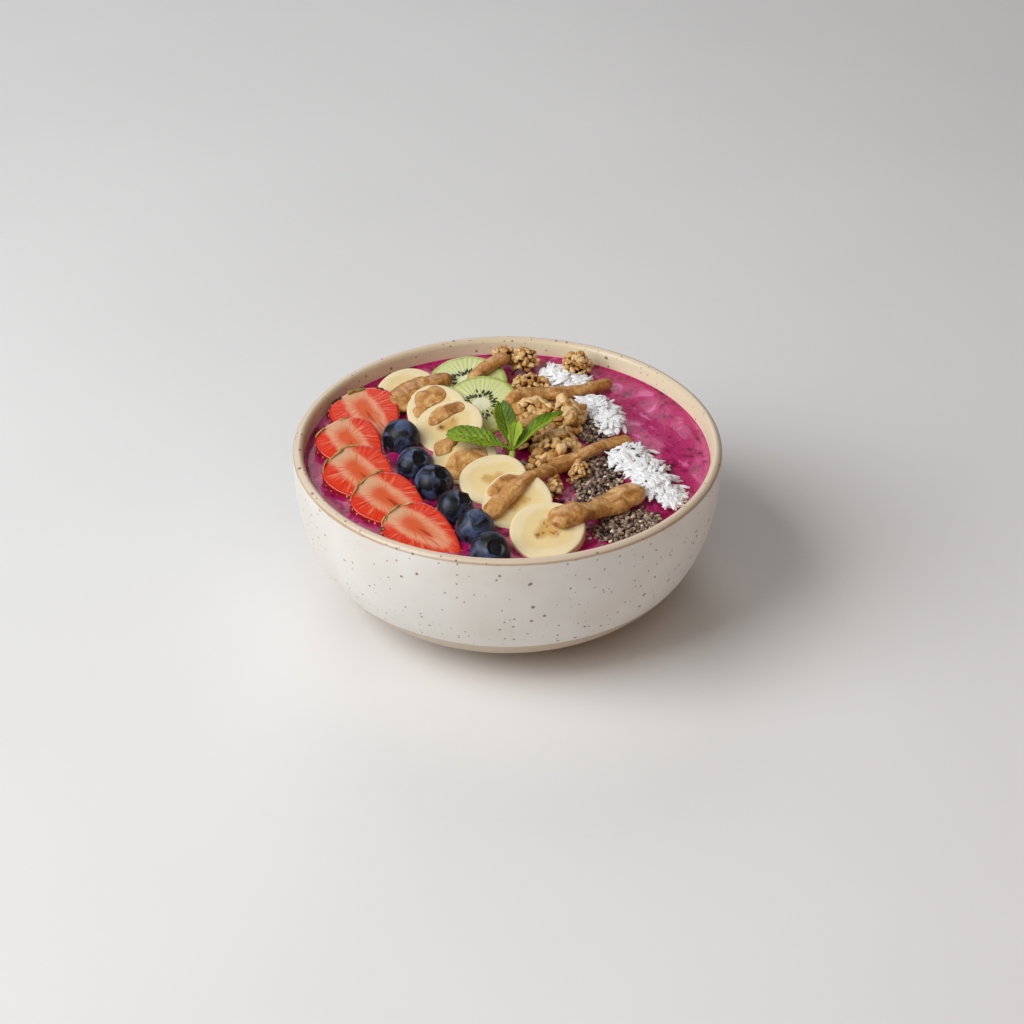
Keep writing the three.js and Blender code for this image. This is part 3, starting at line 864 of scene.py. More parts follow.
@dataclass(frozen=True)
class BerryBloom(Finish):
    """Blueberry skin: nearly black blue under a dry, pale wax that has rubbed off in clouds."""

    skin: str = "#05070D"
    bloom: str = "#5C6C94"
    crown: str = "#0F0F14"
    cloud_mm: float = 5.0

    def pattern(self, tree: Tree) -> Pattern:
        """Adds the finish's own nodes.

        Args:
            tree: node tree that they go into.

        Returns:
            The ground colour, what lies over it and the relief's height.
        """
        place = node(tree, "TexCoord", out="Object")
        cloud = {"Vector": place, "Scale": per(self.cloud_mm), "Detail": 6.0, "Distortion": 0.8}
        cloud = node(tree, "TexNoise", cloud)
        ground = node(tree, "ValToRGB", {0: cloud}, [(0.44, self.skin), (0.72, self.bloom)])
        crown = node(tree, "Attribute", out="Fac", attribute_name="crown")
        return ground, [(crown, self.crown)], cloud


@dataclass(frozen=True)
class BananaFlesh(Finish):
    """Ripe banana, freshly cut: cream, a little translucent, with a yellower three-part heart and
    brown seed marks in it, stronger in some slices."""

    cream: str = "#F2E0B4"
    flesh: str = "#EED69C"
    heart: str = "#D8AE64"
    mark: str = "#96662C"
    edge: str = "#DCC088"
    mottle_mm: float = 2.2
    fine_mm: float = 1.6

    def pattern(self, tree: Tree) -> Pattern:
        """Adds the finish's own nodes.

        Args:
            tree: node tree that they go into.

        Returns:
            The ground colour, what lies over it and the relief's height.
        """
        share = node(tree, "Attribute", out="Fac", attribute_name="share")
        star = node(tree, "Attribute", out="Fac", attribute_name="star")
        place = node(tree, "TexCoord", out="Object")
        mottle = {"Vector": place, "Scale": per(self.mottle_mm), "Detail": 4.0}
        mottle = node(tree, "TexNoise", mottle)
        wavy = node(tree, "Math", {0: star, 1: -0.07, 2: share}, operation="MULTIPLY_ADD")
        wavy = node(tree, "Math", {0: mottle, 1: 0.16, 2: wavy}, operation="MULTIPLY_ADD")
        stops = [
            (0.12, self.heart),
            (0.28, self.heart),
            (0.45, self.flesh),
            (0.72, self.flesh),
            (0.84, self.cream),
        ]
        ground = node(tree, "ValToRGB", {0: wavy}, stops)
        fine = {"Vector": place, "Scale": per(self.fine_mm), "Detail": 2.0}
        fine = node(tree, "TexNoise", fine)
        # Seed marks lie in a ring round the middle, on the heart's three rays.
        marks = node(tree, "Attribute", out="Fac", attribute_name="ripe")
        for source, low, high in (
            (fine, 0.44, 0.56),
            (share, 0.42, 0.3),
            (share, 0.04, 0.12),
            (star, 0.45, 0.85),
        ):
            part = node(tree, "MapRange", {0: source, 1: low, 2: high})
            marks = node(tree, "Math", {0: marks, 1: part}, operation="MULTIPLY")
        outside = node(tree, "MapRange", {0: share, 1: 0.95, 2: 1.02, 4: 0.7})
        return ground, [(marks, self.mark), (outside, self.edge)], mottle


@dataclass(frozen=True)
class KiwiFlesh(Finish):
    """Peeled green kiwi, cut across: a cream core, pale rays that run out through clear green
    flesh, and a wet surface."""

    core: str = "#EDE8CC"
    ray: str = "#E8EAB8"
    green: str = "#D4DA92"
    deep: str = "#AAB454"
    rays: int = 36
    streaks: int = 30

    def pattern(self, tree: Tree) -> Pattern:
        """Adds the finish's own nodes.

        Args:
            tree: node tree that they go into.

        Returns:
            The ground colour, what lies over it and the relief's height.
        """
        share = node(tree, "Attribute", out="Fac", attribute_name="share")
        place = face_place(tree)
        streak = spokes(tree, place, share, self.streaks)
        x = node(tree, "SeparateXYZ", {0: place})
        angle = node(tree, "Math", {0: x.node.outputs[1], 1: x}, operation="ARCTAN2")
        stray = node(tree, "Math", {0: streak, 1: 9.0}, operation="MULTIPLY")
        turns = {0: angle, 1: float(self.rays), 2: stray}
        turns = node(tree, "Math", turns, operation="MULTIPLY_ADD")
        wave = node(tree, "Math", {0: turns}, operation="SINE")
        wavy = node(tree, "Math", {0: streak, 1: 0.14, 2: share}, operation="MULTIPLY_ADD")
        stops = [
            (0.27, self.core),
            (0.35, self.deep),
            (0.6, self.green),
            (0.94, self.green),
            (1.0, self.deep),
        ]
        ground = node(tree, "ValToRGB", {0: wavy}, stops)
        pale = node(tree, "MapRange", {0: wave, 1: 0.0, 2: 0.9})
        inner = node(tree, "MapRange", {0: share, 1: 0.92, 2: 0.5, 4: 0.85})
        pale = node(tree, "Math", {0: pale, 1: inner}, operation="MULTIPLY")
        return ground, [(pale, self.ray)], streak


@dataclass(frozen=True)
class GroundNuts(Finish):
    """Stirred nut butter, spooned on: oily and smooth, with fine grit and darker oil patches."""

    body: str = "#C68B46"
    light: str = "#E4B677"
    dark: str = "#955E28"
    cloud_mm: float = 4.6
    cell_mm: float = 1.3  # from one grain of grit to the next
    grit_mm: float = 1.1

    def pattern(self, tree: Tree) -> Pattern:
        """Adds the finish's own nodes.

        Args:
            tree: node tree that they go into.

        Returns:
            The ground colour, what lies over it and the relief's height.
        """
        place = node(tree, "TexCoord", out="Object")
        cloud = {"Vector": place, "Scale": per(self.cloud_mm), "Detail": 5.0, "Distortion": 1.0}
        cloud = node(tree, "TexNoise", cloud)
        stops = [(0.3, self.dark), (0.48, self.body), (0.7, self.light)]
        ground = node(tree, "ValToRGB", {0: cloud}, stops)
        # Grit in the butter is about half a millimetre.
        gap = node(tree, "TexVoronoi", {"Vector": place, "Scale": per(self.cell_mm)})
        spot = node(tree, "MapRange", {0: gap, 1: 0.28, 2: 0.12, 4: 0.4})
        grit = {"Vector": place, "Scale": per(self.grit_mm), "Detail": 3.0}
        grit = node(tree, "TexNoise", grit)
        return ground, [(spot, self.dark)], grit


@dataclass(frozen=True)
class TonedSeeds(Finish):
    """Small dry things that differ from one to the next: each copy's tone picks its colour, and
    fine mottling breaks it up."""

    tones: tuple[tuple[float, str], ...] = ()
    mottle_mm: float = 1.0
    mottling: float = 0.25

    def pattern(self, tree: Tree) -> Pattern:
        """Adds the finish's own nodes.

        Args:
            tree: node tree that they go into.

        Returns:
            The ground colour, what lies over it and the relief's height.
        """
        tone = node(tree, "Attribute", out="Fac", attribute_name="tone")
        place = node(tree, "TexCoord", out="Object")
        mottle = {"Vector": place, "Scale": per(self.mottle_mm), "Detail": 3.0}
        mottle = node(tree, "TexNoise", mottle)
        centred = node(tree, "Math", {0: mottle, 1: 0.5}, operation="SUBTRACT")
        mixed = {0: centred, 1: 2 * self.mottling, 2: tone}
        mixed = node(tree, "Math", mixed, operation="MULTIPLY_ADD")
        return node(tree, "ValToRGB", {0: mixed}, list(self.tones)), [], mottle


@dataclass(frozen=True)
class MintLeaf(Finish):
    """Fresh mint: matt green blades puffed up between paler veins, the youngest the brightest,
    and the half of each blade that faces the eater painted lighter as painted light.
    """

    deep: str = "#4C6A08"
    green: str = "#7A9416"
    young: str = "#9CB824"
    vein: str = "#B2C558"
    cloud_mm: float = 3.0
    fine_mm: float = 0.8

    def pattern(self, tree: Tree) -> Pattern:
        """Adds the finish's own nodes.

        Args:
            tree: node tree that they go into.

        Returns:
            The ground colour, what lies over it and the relief's height.
        """
        vein = node(tree, "Attribute", out="Fac", attribute_name="vein")
        tone = node(tree, "Attribute", out="Fac", attribute_name="tone")
        place = node(tree, "TexCoord", out="Object")
        cloud = {"Vector": place, "Scale": per(self.cloud_mm), "Detail": 4.0}
        cloud = node(tree, "TexNoise", cloud)
        mixed = node(tree, "Math", {0: cloud, 1: 0.5, 2: tone}, operation="MULTIPLY_ADD")
        # The lightest stop is reached by young leaves and by the half of a blade painted lighter as
        # painted light.
        stops = [(0.25, self.deep), (0.55, self.green), (0.95, self.young)]
        ground = node(tree, "ValToRGB", {0: mixed}, stops)
        pale = node(tree, "MapRange", {0: vein, 1: 0.35, 2: 1.0, 4: 0.6})
        fine = {"Vector": place, "Scale": per(self.fine_mm), "Detail": 3.0}
        fine = node(tree, "TexNoise", fine)
        return ground, [(pale, self.vein)], fine


@dataclass(frozen=True)
class Plain(Finish):
    """One colour with a faint cloud in it."""

    colour: str = "#FFFFFF"
    shade: str = "#F0F0F0"
    cloud_mm: float = 40.0

    def pattern(self, tree: Tree) -> Pattern:
        """Adds the finish's own nodes.

        Args:
            tree: node tree that they go into.

        Returns:
            The ground colour, what lies over it and the relief's height.
        """
        place = node(tree, "TexCoord", out="Object")
        cloud = {"Vector": place, "Scale": per(self.cloud_mm), "Detail": 3.0}
        cloud = node(tree, "TexNoise", cloud)
        stops = [(0.35, self.shade), (0.65, self.colour)]
        return node(tree, "ValToRGB", {0: cloud}, stops), [], cloud


# The pieces


@dataclass(frozen=True)
class Lamp:
    """A square soft light: where it hangs and its side, in metres, its watts and its colour."""

    name: str
    at: Triple
    side: float
    watts: float
    colour: str

    def hang(self, aim: Triple) -> None:
        """Hangs the light.

        Args:
            aim: the point that it faces, in metres.
        """
        lamp = bpy.data.lights.new(self.name, "AREA")
        lamp.shape = "SQUARE"
        lamp.size = self.side
        lamp.energy = self.watts
        lamp.color = linear(self.colour)[:3]
        holder = bpy.data.objects.new(self.name, lamp)
        holder.location = self.at
        ray = Vector(aim) - Vector(self.at)
        holder.rotation_euler = ray.to_track_quat("-Z", "Y").to_euler()
        bpy.context.scene.collection.objects.link(holder)


@dataclass
class Studio:
    """Pale floor, soft light and the picture's camera. The key comes from the left, with weaker
    light from above the front, from a window behind and, warm, from the right."""

    camera_at: Triple = (0.0017, -0.7446, 0.5274)
    camera_tilt: float = 33.65  # degrees below the horizon
    sensor: float = 36.0
    lens: float = 82.617
    floor_radius: float = 6.0
    air: str = "#FAF9F6"
    air_strength: float = 0.07
    aim: Triple = (0, 0, 0.05)
    lamps: tuple[Lamp, ...] = (
        Lamp("key_left", (-1.0, -0.42, 1.0), 1.1, 21.5, "#FAFCFF"),
        Lamp("front_above", (0.2, -0.75, 1.15), 1.0, 3.0, "#FFFEFA"),
        Lamp("window_behind", (-0.25, 1.25, 0.95), 0.7, 3.8, "#FBFBFF"),
        Lamp("fill_right", (0.9, -0.5, 0.45), 0.8, 0.7, "#FF9448"),
    )

    def build(self) -> list[Piece]:
        """Sets up the floor, lights, world and camera.

        Returns:
            The floor.
        """
        scene = bpy.context.scene
        scene.view_settings.view_transform = "Standard"
        bpy.ops.object.select_all(action="DESELECT")
        bpy.ops.mesh.primitive_circle_add(
            vertices=96, radius=self.floor_radius, fill_type="NGON"
        )
        floor = named("floor")
        finish = Plain("painted_board", 0.8, colour="#EFEEEC", shade="#EAE9E7", cloud_mm=300)
        floor.data.materials.append(finish.material())

        world = bpy.data.worlds.new("studio_air")
        world.use_nodes = True
        air = world.node_tree.nodes["Background"]
        air.inputs["Color"].default_value = linear(self.air)
        air.inputs["Strength"].default_value = self.air_strength
        scene.world = world
        for lamp in self.lamps:
            lamp.hang(self.aim)

        lens = bpy.data.cameras.new("picture_camera")
        lens.sensor_width = self.sensor
        lens.lens = self.lens
        camera = bpy.data.objects.new("picture_camera", lens)
        camera.location = self.camera_at
        camera.rotation_euler = (math.radians(90 - self.camera_tilt), 0, 0)
        scene.collection.objects.link(camera)
        scene.camera = camera
        return [floor]


@dataclass
class StonewareBowl:
    """The round bowl: a turned foot, a full belly and a rounded lip."""

    rim_radius: float = 80.0
    rim_centre: float = 62.0  # height at which the lip's rounding begins
    wall: float = 4.0
    foot_radius: float = 46.0
    foot_recess: float = 2.2
    corner: float = 28.0
    power: float = 2.59
    outer_drop: float = 59.2
    inner_drop: float = 54.8
    segments: int = 180
    # Rings of the foot: how far outside its radius they are, and their heights.
    foot_rings: tuple[Pair, ...] = (
        (-7, 2.2),
        (-5.8, 1.9),
        (-5.2, 0.3),
        (-4.6, 0),
        (-1.2, 0),
        (-0.4, 0.25),
        (-0.05, 0.9),
        (0, 2.2),
        (0.15, 3.2),
        (0.8, 3.9),
    )

    def belly(self, share: float, reach: float, drop: float) -> Pair:
        """Gives a point on the rounded belly.

        Args:
            share: 0 at the low end, 1 at the rim.
            reach: how far it swells past the corner.
            drop: how deep it is under the rim.

        Returns:
            Radius and height.
        """
        angle = share * math.pi / 2
        out = max(math.sin(angle), 0) ** (2 / self.power)
        down = max(math.cos(angle), 0) ** (2 / self.power)
        return self.corner + reach * out, self.rim_centre - drop * down

    def profile(self) -> list[Pair]:
        """Lists the bowl's rings.

        Returns:
            Radius and height of each, from the foot's recess over the lip to the floor inside.
        """
        reach = self.rim_radius - self.corner
        base = [(16, self.foot_recess)]
        base += [(self.foot_radius + out, height) for out, height in self.foot_rings]
        outside = [self.belly(s, reach, self.outer_drop) for s in np.linspace(0.19, 1, 30)]
        turns = np.linspace(0, math.pi, 11)[1:-1]
        half = self.wall / 2
        lip = [
            (self.rim_radius - half + half * math.cos(a), self.rim_centre + half * math.sin(a))
            for a in turns
        ]
        inner = reach - self.wall
        inside = [self.belly(s, inner, self.inner_drop) for s in np.linspace(1, 0, 26)]
        return [*base, *outside, *lip, *inside, (12, self.rim_centre - self.inner_drop)]

    def build(self) -> list[Piece]:
        """Models and glazes the bowl.

        Returns:
            The bowl.
        """
        bowl = throw("stoneware_bowl", self.profile(), self.segments)
        points = points_of(bowl)
        # The wall wavers a little, as a hand-thrown one does, but stands flat on its foot.
        waver = wobble(points, 34) * 0.25 * smooth_step(points[:, 2], 3, 20)
        points[:, :2] *= 1 + waver[:, None] / self.rim_radius
        move_points(bowl, points)
        finish = SpeckledGlaze(
            "speckled_glaze_on_stoneware", 0.42, relief_mm=0.12, coat=0.25, coat_roughness=0.22
        )
        return [serve(bowl, finish.material(), Slot.STONEWARE, "bowl")]


@dataclass
class Smoothie:
    """The thick filling, spooned level, with the swirl of the spoon's back still in it."""

    edge: float = 75.95
    floor: float = 7.65
    segments: int = 220
    ring_step: float = 1.1
    gap: float = 0.45  # between the filling and the wall
    # Rings where it meets the wall: how far outside the edge and above the level they are.
    edge_rings: tuple[Pair, ...] = ((-0.5, -3), (0, 0.35), (-0.35, 0.6), (-0.8, 0.35))
    swirl_height: float = 0.42
    swirl_pitch: float = 2.9
    broad_lumps: float = 0.6
    small_lumps: float = 0.36

    def build(self) -> list[Piece]:
        """Models the filling.

        Returns:
            The filling.
        """
        shell = StonewareBowl()
        reach = shell.rim_radius - shell.corner - shell.wall
        wall = [shell.belly(s, reach, shell.inner_drop) for s in np.linspace(0, 0.86, 12)]
        profile = [(12, self.floor), *[(r - self.gap, z + self.gap) for r, z in wall]]
        profile += [(self.edge + out, LEVEL + rise) for out, rise in self.edge_rings]
        profile += [(r, LEVEL) for r in np.arange(self.edge - 1.6, 1.5, -self.ring_step)]
        filling = throw("smoothie_filling", profile, self.segments)
        points = points_of(filling)
        radius = np.hypot(points[:, 0], points[:, 1])
        angle = np.arctan2(points[:, 1], points[:, 0])
        top = smooth_step(points[:, 2], LEVEL - 1, LEVEL) * smooth_step(-radius, -75.6, -72)
        phase = radius / self.swirl_pitch + 2 * angle + 1.6 * wobble(points, 22, 3)
        swirl = self.swirl_height * np.sin(phase)
        swirl *= smooth_step(radius, 25, 55)
        lumps = self.broad_lumps * wobble(points, 15, 1)
        lumps += self.small_lumps * wobble(points, 5, 2)
        points[:, 2] += top * (0.1 + swirl + lumps)
        move_points(filling, points)
        finish = FruitPuree(
            "blended_berry_smoothie",
            0.36,
            relief_mm=0.32,
            coat=0.22,
            coat_roughness=0.13,
            subsurface=0.1,
            bleed_mm=(1.2, 0.4, 0.8),
            specular=0.25,
        )
        return [serve(filling, finish.material(), Slot.SMOOTHIE, "smoothie")]


# Rings of a slice, from its underside to the cut face: shares of its radius and thickness.
SLICE_RINGS = (
    (0.4, 1.0),
    (0.93, 1.0),
    (0.985, 0.94),
    (1.0, 0.82),
    (1.0, 0.6),
    (1.0, 0.35),
    (1.0, 0.14),
    (0.992, 0.06),
    (0.975, 0.018),
    (0.95, 0.0),
)
FACE_RINGS = 18  # rings of the cut face itself


@dataclass
class CutSlice:
    """A slice with a flat cut face at height 0 of its own frame and a softened edge."""

    name: str
    pose: Pose
    outline: Callable[[np.ndarray], tuple[np.ndarray, np.ndarray]]
    thickness: float
    seed: float
    segments: int = 84
    waver: float = 0.012
    ripeness: float = 0.0

    def model(self, relief: Callable[[np.ndarray, np.ndarray], np.ndarray]) -> Piece:
        """Models the slice and lays its face map.

        Args:
            relief: height of the cut face for its points and their share of the radius.

        Returns:
            The slice, in the dish's frame.
        """
        side = [(share, -deep * self.thickness) for share, deep in SLICE_RINGS]
        face = [(share, 0.0) for share in np.linspace(0.9, 0.05, FACE_RINGS)]
        piece = throw(self.name, side + face, self.segments)
        flat = points_of(piece)
        share = np.hypot(flat[:, 0], flat[:, 1])
        angle = np.arctan2(flat[:, 1], flat[:, 0])
        depth = np.clip(-flat[:, 2] / self.thickness, 0, 1)
        x, y = self.outline(angle)
        ragged = 1 + self.waver * wobble(np.stack([x, y, 0 * x], 1), 5, self.seed)
        points = np.stack([share * x * ragged, share * y * ragged, flat[:, 2]], 1)
        points[:, 2] += relief(points, share) * (depth < 0.5)
        move_points(piece, points)
        map_face(piece, points)
        paint(piece, "share", np.where(depth > 0.05, 1 + depth, np.minimum(share, 1)))
        paint(piece, "star", np.cos(3 * angle + self.seed))
        paint(piece, "own", np.full(len(points), self.seed))
        paint(piece, "ripe", np.full(len(points), self.ripeness))
        piece.data.transform(self.pose.matrix())
        return piece


@dataclass
class StrawberryFan:
    """Five strawberry slices laid over one another like tiles, with seeds and bits of calyx."""

    thickness: float = 4.5
    seeds_each: int = 34
    seed_mm: Triple = (0.35, 0.42, 0.62)  # half sizes
    # Pose, length from stem to tip and width across the shoulders.
    slices: tuple[tuple[Pose, float, float], ...] = (
        (Pose((-29, -54.6, 59.4), 13, 0, -40), 33, 23),
        (Pose((-40.6, -38, 60.6), 15, 0, -42), 34, 24),
        (Pose((-52, -20.6, 60.6), 15, 0, -50), 34, 25),
        (Pose((-57, 0.6, 60.4), 15, 0, -56), 32, 24),
        (Pose((-52.6, 23.4, 60), 13, 0, -60), 32, 27),
    )
    # Slice, directions of both ends in degrees, half width in millimetres, and tone.
    strands: tuple[tuple[int, float, float, float, float], ...] = (
        (0, 148, 170, 0.34, 0.75),
        (0, 163, 200, 0.42, 0.6),
        (0, 192, 220, 0.36, 0.7),
        (0, 214, 222, 0.6, 0.25),
        (1, 146, 158, 0.5, 0.3),
        (1, 152, 188, 0.4, 0.65),
        (1, 182, 222, 0.3, 0.6),
        (2, 150, 176, 0.45, 0.65),
        (2, 170, 204, 0.42, 0.6),
        (2, 198, 226, 0.4, 0.5),
        (3, 196, 220, 0.42, 0.6),
        (3, 158, 172, 0.3, 0.6),
        (4, 196, 214, 0.6, 0.05),
        (4, 160, 186, 0.8, 0.5),
        (4, 132, 146, 0.5, 0.1),
    )

    @staticmethod
    def outline(length: float, width: float, angle: np.ndarray) -> tuple[np.ndarray, np.ndarray]:
        """Gives the outline of a strawberry cut lengthwise, its tip along +X.

        Args:
            length: from stem to tip.
            width: across the shoulders.
            angle: place round the outline.

        Returns:
            The x and y of each point.
        """
        taper = 1 - 0.5 * np.cos(angle)
        return length / 2 * np.cos(angle), 0.455 * width * np.sin(angle) * taper

    @staticmethod
    def relief(points: np.ndarray, share: np.ndarray) -> np.ndarray:
        """Raises a faint swell and fibres, and sinks a slit along the core.

        Args:
            points: places on the cut face.
            share: their shares of its radius.

        Returns:
            Height of each point.
        """
        slit = np.exp(-((points[:, 0] / 3.6) ** 2) - (points[:, 1] / 0.7) ** 2)
        fibres = 0.06 * wobble(points * np.array([0.5, 1, 1]), 1.8, points[0, 0])
        return 0.25 * (1 - share**2) - 0.2 * slit + fibres * (share < 0.95)

    def strand(self, index: int, first: float, last: float, wide: float) -> Piece:
        """Models one dry calyx strand along a slice's stem end.

        Args:
            index: number of the slice, counted from 0.
            first: direction of one end from the slice's middle, in degrees.
            last: direction of the other end.
            wide: half its width at most.

        Returns:
            The strand, in the dish's frame.
        """
        pose, length, width = self.slices[index]
        angles = np.radians(np.linspace(first, last, 7))
        x, y = self.outline(length, width, angles)
        sway = np.sin(angles * 9 + index * 2 + first)
        near = 0.97 + 0.03 * np.sin(angles * 5 + first)
        path = np.stack([x * near + 0.3 * sway, y * near, 0.25 + 0.3 * sway], 1)
        strand = squeeze(
            f"calyx_strand_{index}",
            Path([tuple(point) for point in path]),
            lambda s: wide * (0.35 + 0.65 * np.abs(np.sin(5 * s + first))),
            0.7 * wide,
            8,
            30,
        )
        strand.data.transform(pose.matrix())
        return strand

    def build(self) -> list[Piece]:
        """Models the slices, their seeds and the strands.

        Returns:
            The pieces.
        """
        flesh = StrawberryFlesh(
            "cut_strawberry",
            0.32,
            relief_mm=0.25,
            coat=0.3,
            coat_roughness=0.1,
            subsurface=0.2,
            bleed_mm=(1.6, 0.4, 0.25),
        ).material()
        made = []
        for i, (pose, length, width) in enumerate(self.slices, 1):
            cut = CutSlice(
                f"cut_strawberry_{i}",
                pose,
                lambda angle, l=length, w=width: self.outline(l, w, angle),
                self.thickness,
                i * 1.7,
            )
            piece = cut.model(self.relief)
            made.append(serve(piece, flesh, Slot.STRAWBERRY, f"strawberry_slice_{i}"))
        made.append(self.seeds())
        made.append(self.calyx())
        return made

    def calyx(self) -> Piece:
        """Models the strands of all slices.

        Returns:
            The strands as one piece.
        """
        crowd = Crowd([])
        for number, (index, first, last, wide, tone) in enumerate(self.strands):
            crowd.shapes.append(Shape.of(self.strand(index, first, last, wide)))
            crowd.add(number, Pose((0, 0, 0)), (1, 1, 1), tone)
        straw = TonedSeeds(
            "dry_calyx",
            0.6,
            relief_mm=0.2,
            tones=((0.05, "#2B2A12"), (0.3, "#6E6224"), (0.55, "#AD9440"), (0.85, "#D8BC78")),
            mottle_mm=2.0,
            mottling=0.5,
        )
        return serve(crowd.join("strawberry_calyx"), straw.material(), Slot.STRAWBERRY)

    def seeds(self) -> Piece:
        """Sets seeds in the skin round the slices' sides.

        Returns:
            The seeds as one piece.
        """
        rng = np.random.default_rng(5)
        crowd = Crowd([Shape.of(ball("seed", 8, 6))])
        for pose, length, width in self.slices:
            for step in range(self.seeds_each):
                angle = step * 2 * math.pi / self.seeds_each + rng.uniform(-0.06, 0.06)
                x, y = (float(v[0]) for v in self.outline(length, width, np.array([angle])))
                deep = -rng.uniform(0.6, 3.0)
                at = pose.matrix() @ Vector((x, y, deep))
                turned = Pose(tuple(at), pose.lean, 0, pose.turn + math.degrees(math.atan2(y, x)))
                crowd.add(0, turned, self.seed_mm, rng.uniform(0.2, 0.9))
        straw = TonedSeeds(
            "strawberry_seed",
            0.45,
            relief_mm=0.05,
            tones=((0.1, "#C98F3E"), (0.8, "#EBCB8A")),
        )
        return serve(crowd.join("strawberry_seeds"), straw.material(), Slot.STRAWBERRY)


@dataclass
class BlueberryRow:
    """Six blueberries in a row, each with the star of its crown turned its own way.

    The crown's sizes are shares of the berry's radius.
    """

    squash: float = 0.94  # height for a width of 1
    crown_base: float = 0.84
    crown_faces: float = 0.85
    lip_rise: float = 0.035
    lip_width: float = 0.06
    pit_depth: float = 0.13
    pit_middle: float = 0.78
    pit_edge: Pair = (0.43, 0.36)
    sepals: int = 5
    sepal_foot: Pair = (0.2, 0.3)
    sepal_rise: float = 0.05
    sepal_flare: float = 0.12
    dents: float = 0.012
    # Pose and radius, from the back.
    berries: tuple[tuple[Pose, float], ...] = (
        (Pose((-40, 7.8, 60), 83, -44), 7.4),
        (Pose((-34.2, -10.6, 59.8), 28, 20), 6.9),
        (Pose((-26.8, -23.6, 60), 16, 27), 7.3),
        (Pose((-18.9, -40, 59.8), 4, 37), 7.1),
        (Pose((-11.4, -52.6, 59.8), -58, 10), 7.1),
        (Pose((-6, -66.6, 59.3), 41, 19), 7.3),
    )

    def berry(self, index: int, pose: Pose, radius: float) -> Piece:
        """Models one berry.

        Args:
            index: its number, from the back.
            pose: where it lies. Its crown looks along its own +Z.
            radius: its radius.

        Returns:
            The berry, in the dish's frame.
        """
        berry = ball(f"blueberry_fruit_{index}", 40, 26, radius)
        bpy.ops.transform.resize(value=(1, 1, self.squash), center_override=(0, 0, 0))
        bpy.ops.object.transform_apply(scale=True)
        bpy.ops.object.mode_set(mode="EDIT")
        bpy.ops.mesh.select_mode(type="FACE")
        bpy.ops.mesh.select_all(action="DESELECT")
        bpy.ops.object.mode_set(mode="OBJECT")
        for polygon in berry.data.polygons:
            polygon.select = polygon.center.z > self.crown_faces * radius
        bpy.ops.object.mode_set(mode="EDIT")
        up = {"value": (0, 0, self.lip_rise * radius)}
        bpy.ops.mesh.extrude_region_move(TRANSFORM_OT_translate=up)
        bpy.ops.mesh.inset(thickness=self.lip_width * radius)
        down = {"value": (0, 0, -self.pit_depth * radius)}
        bpy.ops.mesh.extrude_region_move(TRANSFORM_OT_translate=down)
        middle = (0, 0, self.pit_middle * radius)
        bpy.ops.transform.resize(value=(0.8, 0.8, 0.3), center_override=middle)
        bpy.ops.mesh.inset(thickness=0.05 * radius)
        bpy.ops.object.mode_set(mode="OBJECT")
        points = points_of(berry)
        angle = np.arctan2(points[:, 1], points[:, 0])
        reach = np.hypot(points[:, 0], points[:, 1])
        # The sepals stand round the crown.
        collar = smooth_step(points[:, 2], self.crown_base * radius, 0.9 * radius)
        collar *= smooth_step(reach, *(share * radius for share in self.sepal_foot))
        sepal = np.cos(self.sepals * angle)
        points[:, 2] += collar * self.sepal_rise * radius * sepal
        points[:, :2] *= 1 + (self.sepal_flare * collar * sepal)[:, None]
        points *= 1 + self.dents * wobble(points, 6, index)[:, None]
        move_points(berry, points)
        finish_with(berry, "SUBSURF", levels=1, render_levels=1)
        points = points_of(berry)
        reach = np.hypot(points[:, 0], points[:, 1])
        star = 1 - 0.14 * np.cos(self.sepals * np.arctan2(points[:, 1], points[:, 0]))
        pit = smooth_step(-reach * star, *(-share * radius for share in self.pit_edge))
        paint(berry, "crown", pit * (points[:, 2] > 0))
        face_out(berry)
        berry.data.transform(pose.matrix())
        return berry

    def build(self) -> list[Piece]:
        """Models the row.

        Returns:
            The berries.
        """
        skin = BerryBloom("waxy_blueberry_skin", 0.45, relief_mm=0.06, sheen=0.05, specular=0.35)
        skin = skin.material()
        return [
            serve(self.berry(i, pose, radius), skin, Slot.BLUEBERRY, f"blueberry_{i}")
            for i, (pose, radius) in enumerate(self.berries, 1)
        ]


# Each streak is a path on the slice's unturned face and its half width.
STREAK_PATHS: dict[Streak, tuple[tuple[tuple[Pair, ...], float], ...]] = {
    Streak.NONE: (),
    Streak.SINGLE: ((((-7.4, 1.4), (-2, 6.6), (5.4, 9.2)), 2.4),),
    Streak.DOUBLE: (
        (((-9.6, 2.6), (-5, 7.4), (1.6, 10.2)), 1.9),
        (((-7.4, -1.6), (-2.4, 3.2), (3.6, 7)), 1.5),
    ),
    Streak.WIDE: (
        (((-10.4, 1), (-7, 6.2), (-3, 8.6)), 2.4),
        (((-5.6, -10), (0.4, -3.6), (7.6, 3.4)), 5.2),
    ),
    Streak.DRIP: (
        (((-8, 2.4), (-2.6, 5.8), (3.8, 8.6)), 3.6),
        (((-6.6, 2), (-6, -1.4), (-5, -4)), 2.2),
    ),
}


